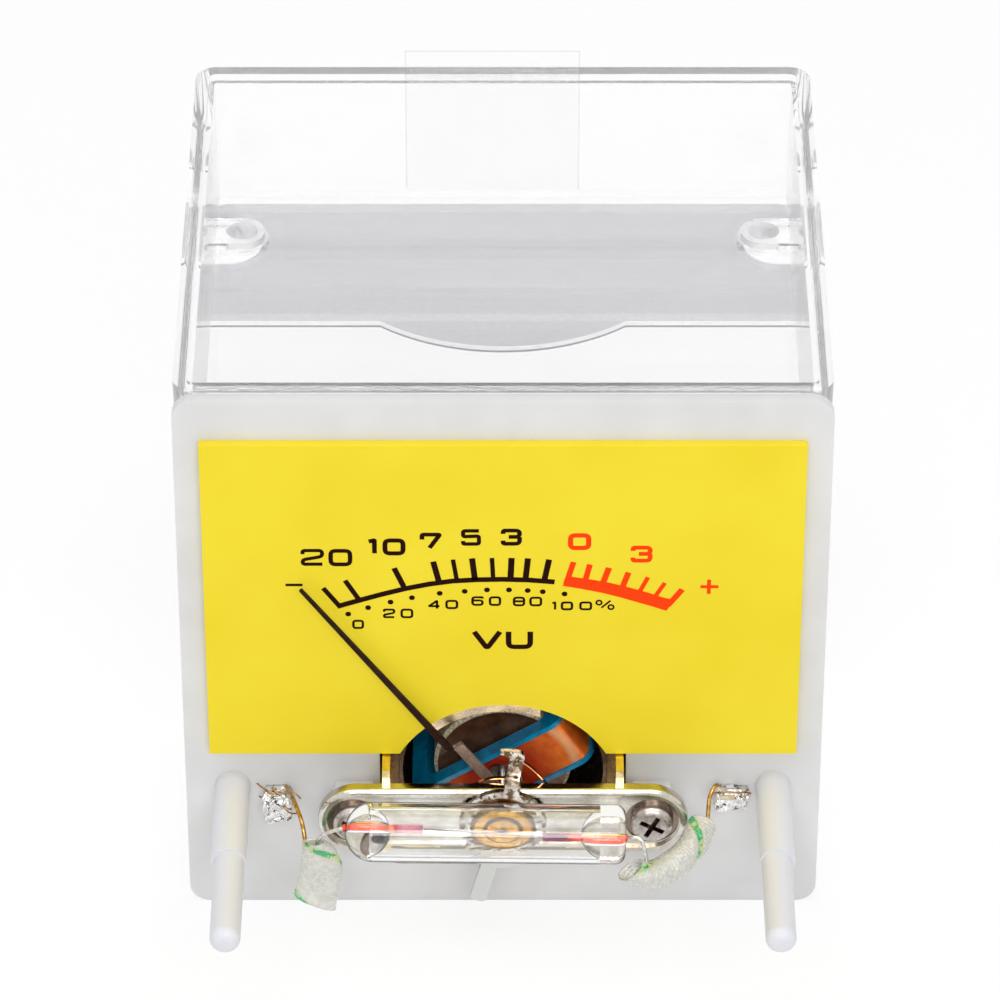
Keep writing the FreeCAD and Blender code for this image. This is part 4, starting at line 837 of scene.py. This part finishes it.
def print_on_dial(name, strokes, discs, bands, finish):
    """One colour of the print: its strokes, its dots and its filled bands."""
    whole = bmesh.new()
    for i, (points, closed, width) in enumerate(strokes):
        bm = drawn_wires(name, [(points, closed, width + SPREAD)])
        reach = INK_HALF + INK_STEP * (i % INK_LAYERS)
        for vert in bm.verts:
            vert.co.y = DIAL_FRONT + max(-reach, min(INK_HALF, vert.co.y - DIAL_FRONT))
        stroke = bpy.data.meshes.new(name)
        bm.to_mesh(stroke)
        bm.free()
        whole.from_mesh(stroke)
        bpy.data.meshes.remove(stroke)
    for across, down in discs:
        turn = Matrix.Translation(on_dial(across, down)) @ Matrix.Rotation(math.pi / 2, 4, "X")
        bmesh.ops.create_cone(whole, cap_ends=True, segments=20, radius1=DOT_R, radius2=DOT_R,
                              depth=2 * INK_HALF, matrix=turn)
    for band in bands:
        corners = [whole.verts.new(on_dial(*p) + Vector((0, INK_HALF, 0))) for p in band]
        face = whole.faces.new(corners)
        grown = bmesh.ops.extrude_face_region(whole, geom=[face])
        moved = [v for v in grown["geom"] if isinstance(v, bmesh.types.BMVert)]
        bmesh.ops.translate(whole, verts=moved, vec=(0, -2 * INK_HALF - INK_STEP * INK_LAYERS, 0))
        bmesh.ops.recalc_face_normals(whole, faces=list({f for v in corners + moved for f in v.link_faces}))
    return finished_piece(name, whole, "base",
                          finish, smooth=False, merge=False)


print_on_dial("dial_print_black", black, DOTS, [], BLACK_INK)
print_on_dial("dial_print_red", red, [], [RED_BAND], RED_INK)


# %% [markdown]
# ## Winding
# The coil is wound with fine enamelled wire, and its turns show as parallel lines on the flats and a bright
# line round each corner. Each turn is a round wire bent to a rectangle with round corners, lying in the plane
# of the needle's axis; the turns sit side by side, touching, and the whole coil is turned to its place.

# %% Turns of the coil
COIL_TURN = 32.8            # degrees, right end up
TURN_OUT = 8.95             # the winding's reach from the axis
TURN_FRONT, TURN_BACK = 2.75, 17.75
TURN_HALF_SPREAD = 2.5
TURNS = 31
WIRE_R = 0.09
TURN_CORNER = 1.4


def coil_turns():
    reach = TURN_OUT - WIRE_R
    front, back = TURN_FRONT + WIRE_R, TURN_BACK - WIRE_R
    splines = []
    for k in range(TURNS):
        across = TURN_HALF_SPREAD * (2 * k / (TURNS - 1) - 1)
        corners = [Vector((x, y, across)) for x, y in
                   ((-reach, front), (reach, front), (reach, back), (-reach, back), (-reach, front))]
        line_points, closed = rounded(corners, TURN_CORNER, steps=8)
        splines.append((line_points, closed, 2 * WIRE_R))
    bm = drawn_wires("coil_turns", splines, bevel=1)
    turn = Matrix.Translation(PIVOT) @ Matrix.Rotation(math.radians(-COIL_TURN), 4, "Y")
    bmesh.ops.transform(bm, matrix=turn, verts=bm.verts)
    return finished_piece("coil_turns", bm, "moving_coil", ENAMEL, ["coil_winding"],
                          merge=False)


coil_turns()


# %% [markdown]
# ## Braided sleeves
# Each sleeve is a short piece of glass-fibre braid soaked in varnish: cloudy, glossy, a little see-through,
# with one green tracer thread that runs round it in a long screw. A flat grid is rolled up into a tube along
# a smooth line; each point knows how far round and how far along it is, so the braid's relief and the tracer
# follow the tube. The tracer is stored on the mesh as an attribute. The ends are cut slantwise.

# %% Sleeve finish
def sleeve_finish():
    finish = Finish("braided_sleeve", paint(236, 236, 232), roughness=0.2, coat_weight=1.0,
                    coat_roughness=0.06, transmission_weight=0.45, alpha=0.9)
    weave = finish.spread(finish.grain(0.5, detail=4.0, roughness=0.7), 0.4, 0.65)
    slant = finish.add("ShaderNodeLayerWeight", {}, {"Blend": 0.5}, output="Facing")
    rim = finish.spread(slant, 0.8, 1.0, 0.0, 0.75)     # the shaded edge of a cloudy tube
    cloth = finish.mix(weave, paint(243, 242, 237), paint(221, 219, 211))
    cloth = finish.mix(rim, cloth, paint(120, 122, 116))
    tracer = finish.add("ShaderNodeAttribute", {"attribute_name": "tracer"}, output="Fac")
    broken = finish.spread(finish.grain(1.0, detail=2.0), 0.47, 0.53)
    thread = finish.mix(weave, paint(20, 214, 140), paint(0, 168, 98))
    haze = finish.mix(finish.spread(tracer, 0.0, 0.4), cloth, paint(226, 232, 176))
    finish.set("Base Color", finish.mix(finish.spread(tracer * broken, 0.3, 0.7), haze, thread))
    finish.bump(finish.grain(0.16, detail=3.0), 0.012)
    open_air = finish.add("ShaderNodeBsdfTransparent", {}, {"Color": (0.7, 0.7, 0.7, 1.0)})
    return finish.show(finish.blend(finish.ray("Shadow"), finish.body(), open_air)).material


SLEEVE = sleeve_finish()
print("finishes so far", len(Finish.made))


# %% Rolled and braided tubes
AROUND, ALONG = 96, 150
BRAID_TURNS = 6             # strands that run each way round
BRAID_PITCH = 1.7           # mm along the tube for one strand's turn of phase
BRAID_RELIEF = 0.08
RIB_PITCH = 0.36
RIB_RELIEF = 0.05
CRUMPLE = 0.22
TRACER_PITCH = 8.3
TRACER_HALF = 0.085         # half its width, as a share of the way round
WALL = 0.28


def through(keys, count):
    """Rows of numbers on a smooth line through the keys (Catmull-Rom)."""
    rows = []
    spans = len(keys) - 1
    for k in range(count + 1):
        span = min(int(k * spans / count), spans - 1)
        t = k * spans / count - span
        p, q, r, s = (keys[max(0, min(spans, span + step))] for step in (-1, 0, 1, 2))
        rows.append([0.5 * (2 * b + (c - a) * t + (2 * a - 5 * b + 4 * c - d) * t ** 2
                            + (3 * b - a - 3 * c + d) * t ** 3) for a, b, c, d in zip(p, q, r, s)])
    return rows


def braided_sleeve(name, node, keys, thin_way, tracer_start, relief):
    """A key holds centre x, y, z, half width, half thickness, and the cut's slant across each of them."""
    rows = through(keys, ALONG)
    centres = [Vector(row[:3]) for row in rows]
    lengths = [0.0]
    for near, far in zip(centres, centres[1:]):
        lengths.append(lengths[-1] + (far - near).length)
    bm = bmesh.new()
    tracer = bm.verts.layers.float.new("tracer")
    bmesh.ops.create_grid(bm, x_segments=AROUND, y_segments=ALONG, size=1.0)
    for vert in bm.verts:
        k = round((vert.co.y + 1) / 2 * ALONG)
        turn = math.pi * (round((vert.co.x + 1) / 2 * AROUND) % AROUND) * 2 / AROUND
        width, thickness, slant_width, slant_thickness = rows[k][3:]
        ahead = (centres[min(k + 1, ALONG)] - centres[max(k - 1, 0)]).normalized()
        side = ahead.cross(thin_way).normalized()
        up = side.cross(ahead)
        along = lengths[k]
        phase = math.tau * along / BRAID_PITCH
        strand = max(math.sin(BRAID_TURNS * turn + phase) ** 2, math.sin(BRAID_TURNS * turn - phase) ** 2)
        rib = math.sin(math.tau * along / RIB_PITCH)
        crumple = noise.noise(centres[k] * 0.6 + side * math.cos(turn) + up * math.sin(turn))
        grow = (BRAID_RELIEF * strand + RIB_RELIEF * rib) * relief + CRUMPLE * crumple
        sideways = math.cos(turn) * (width + grow)
        upways = math.sin(turn) * (thickness + grow)
        slip = slant_width * sideways + slant_thickness * upways
        vert.co = centres[k] + side * sideways + up * upways + ahead * slip
        way = (turn / math.tau - along / TRACER_PITCH - tracer_start) % 1.0
        vert[tracer] = max(0.0, 1.0 - (min(way, 1 - way) / TRACER_HALF) ** 2)
    piece = finished_piece(name, bm, "base", SLEEVE, [node])
    wall = piece.modifiers.new("wall", "SOLIDIFY")
    wall.thickness = WALL * MM
    wall.offset = -1.0
    return piece


braided_sleeve("sleeve_left", "left_sleeve", [
    (-19.2, -9.6, 0.4, 1.1, 0.7, 0.25, 0), (-18.7, -9.6, -1.0, 1.7, 0.75, 0.1, 0),
    (-18.45, -9.6, -2.7, 2.1, 0.8, 0, 0), (-18.8, -9.6, -5.0, 2.15, 0.8, 0.1, 0),
    (-19.15, -9.6, -7.6, 2.2, 0.75, 0.33, 0)], Vector((0, 1, 0)), 0.66, 0.35)
braided_sleeve("sleeve_right", "right_sleeve", [
    (12.9, -11.2, -1.95, 1.3, 1.2, 0, 0.75), (15.1, -11.25, -2.5, 1.4, 1.35, 0, 0.2),
    (17.7, -9.6, -2.15, 1.45, 1.4, 0, 0), (19.5, -6.9, -1.6, 1.4, 1.3, 0, 0),
    (20.5, -4.8, -1.15, 1.3, 1.2, 0, 0)], Vector((0, 0, 1)), 0.125, 0.9)


# %% [markdown]
# ## Solder
# Solder freezes in lumps with a bright skin; its dark patches are partly flux and partly painted reflections.
# Each lump starts as an icosphere, is drawn out towards a box, pushed in and out by noise, and cut off flat
# where it sits on the plate; the cut is closed again. The ends of a few strands stick out of each lump, brown
# from the iron.

# %% Solder lumps
LUMPS = (                   # centre x and z, and half sizes in mm
    (-23.1, -1.85, (1.75, 2.3, 2.3)),
    (23.35, -1.2, (2.1, 2.1, 1.55)))
BOXY = 0.55                 # 1 is a ball, less is squarer


def squared(value):
    return math.copysign(abs(value) ** BOXY, value)


def solder_lumps():
    bm = bmesh.new()
    for x, z, half in LUMPS:
        made = bmesh.ops.create_icosphere(bm, subdivisions=6, radius=1.0)["verts"]
        for vert in made:
            out = vert.co.normalized()
            swell = 0.88 + 0.22 * noise.noise(out * 1.6 + Vector((x, 0.7, 0)))
            swell += 0.14 * abs(noise.noise(out * 3.4 + Vector((0, x, 2.0))))
            box = Vector([squared(c) * h for c, h in zip(out, half)])
            vert.co = box * (swell * 0.94) + Vector((x, 0, z))
    cut = bmesh.ops.bisect_plane(bm, geom=bm.verts[:] + bm.edges[:] + bm.faces[:], plane_co=(0, -0.01, 0),
                                 plane_no=(0, 1, 0), clear_outer=True)
    rim = [e for e in cut["geom_cut"] if isinstance(e, bmesh.types.BMEdge)]
    bmesh.ops.edgeloop_fill(bm, edges=rim)
    return finished_piece("solder_lumps", bm, "base", SOLDER, ["lamp_solder"])


solder_lumps()


# %% Strands at the solder
STRANDS = (                 # from outside the lump to inside it
    ((-25.2, -0.3, 0.45), (-24.4, -0.9, 0.15), (-23.3, -1.2, -0.2)),
    ((-25.0, -0.4, -1.2), (-24.5, -1.0, -1.0), (-23.4, -1.4, -1.1)),
    ((-23.6, -1.3, 0.5), (-22.6, -1.6, 0.2), (-21.3, -1.8, 0.3), (-20.7, -1.9, -0.3)),
    ((-23.0, -1.5, -0.6), (-22.3, -2.3, -1.3), (-21.7, -2.3, -1.9), (-21.0, -2.0, -2.1)),
    ((21.3, -1.6, 0.2), (22.4, -1.9, 0.55), (23.8, -1.9, 0.5), (24.9, -1.5, 0.2), (25.4, -0.9, -0.4)),
    ((22.0, -1.4, 0.0), (23.0, -1.6, 0.3), (24.4, -1.6, 0.25), (25.2, -1.0, 0.2)))
STRAND_W = 0.17


def strands():
    lines = [([Vector(row) for row in through(strand, 12)], False, STRAND_W) for strand in STRANDS]
    return finished_piece("solder_strands", drawn_wires("strands", lines), "base", STRAND,
                          merge=False)


strands()


# %% [markdown]
# ## Camera, light and floor
# A long lens from above keeps the plate's sides nearly parallel. The light is soft: a wide panel overhead, a
# smaller and stronger one in front and above, and an even world. The world and the floor look white where
# the camera, a mirror or glass sees them, and light the object less, so that pale pieces keep their tone.

# %% Camera
CAMERA_PLACE = (-0.0003, -0.46455, 0.37621)
CAMERA_TILT = 53.8          # degrees from straight down
LENS = 209.5                # mm on a sensor 36 mm wide

camera_data = bpy.data.cameras.new("camera")
camera_data.sensor_width = 36.0
camera_data.lens = LENS
camera_data.clip_start = 0.01
camera_data.clip_end = 20.0
camera = bpy.data.objects.new("camera", camera_data)
camera.location = CAMERA_PLACE
camera.rotation_euler = (math.radians(CAMERA_TILT), 0, 0)
bpy.context.scene.collection.objects.link(camera)
bpy.context.scene.camera = camera
print("camera", LENS, "mm lens")


# %% Light
def panel(name, place, aim, size, power):
    data = bpy.data.lights.new(name, "AREA")
    data.shape = "RECTANGLE"
    data.size, data.size_y = size
    data.energy = power
    lamp = bpy.data.objects.new(name, data)
    lamp.location = place
    lamp.rotation_euler = (Vector(aim) - Vector(place)).to_track_quat("-Z", "Y").to_euler()
    bpy.context.scene.collection.objects.link(lamp)
    print(name, power, "W")


panel("top_panel", (0.0, -0.1, 0.75), (0, 0, 0), (0.9, 0.5), 2.3)
panel("front_panel", (0.05, -0.78, 0.56), (0, 0, 0), (0.6, 0.4), 3.5)

world = bpy.data.worlds.new("studio")
bpy.context.scene.world = world
world.use_nodes = True
world.node_tree.nodes.clear()
studio = Recipe(world.node_tree)
WORLD_LIGHT = 0.5           # what the world adds to the object's light; seen directly, it is 1, white
air = studio.add("ShaderNodeBackground", {}, {
    "Color": (1, 1, 1, 1), "Strength": studio.spread(studio.seen(), 0, 1, WORLD_LIGHT, 1.0)})
studio.add("ShaderNodeOutputWorld", {}, {"Surface": air})


# %% Floor
FLOOR_GLOW = 1.04           # white with a little to spare
FLOOR_SHARE = 0.75          # how much of what is seen is glow; the rest shows the shadow


def floor_finish():
    material = bpy.data.materials.new("floor_white")
    material.use_nodes = True
    material.node_tree.nodes.clear()
    ground = Recipe(material.node_tree)
    matt = ground.add("ShaderNodeBsdfDiffuse", {}, {"Color": (0.9, 0.9, 0.9, 1)})
    glow = ground.add("ShaderNodeEmission", {}, {"Strength": FLOOR_GLOW})
    both = ground.blend(ground.spread(ground.seen(), 0, 1, 0, FLOOR_SHARE), matt, glow)
    ground.add("ShaderNodeOutputMaterial", {}, {"Surface": both})
    return material


FLOOR_Z = cad_box[0].z
FLOOR_HALF = 4.0
bm = bmesh.new()
bmesh.ops.create_grid(bm, x_segments=1, y_segments=1, size=FLOOR_HALF,
                      matrix=Matrix.Translation((0, 0, FLOOR_Z)))
mesh = bpy.data.meshes.new("floor")
bm.to_mesh(mesh)
bm.free()
mesh.materials.append(floor_finish())
floor = bpy.data.objects.new("floor", mesh)
bpy.context.scene.collection.objects.link(floor)
bpy.context.scene.view_settings.view_transform = "Standard"
print("floor at", round(FLOOR_Z, 5))
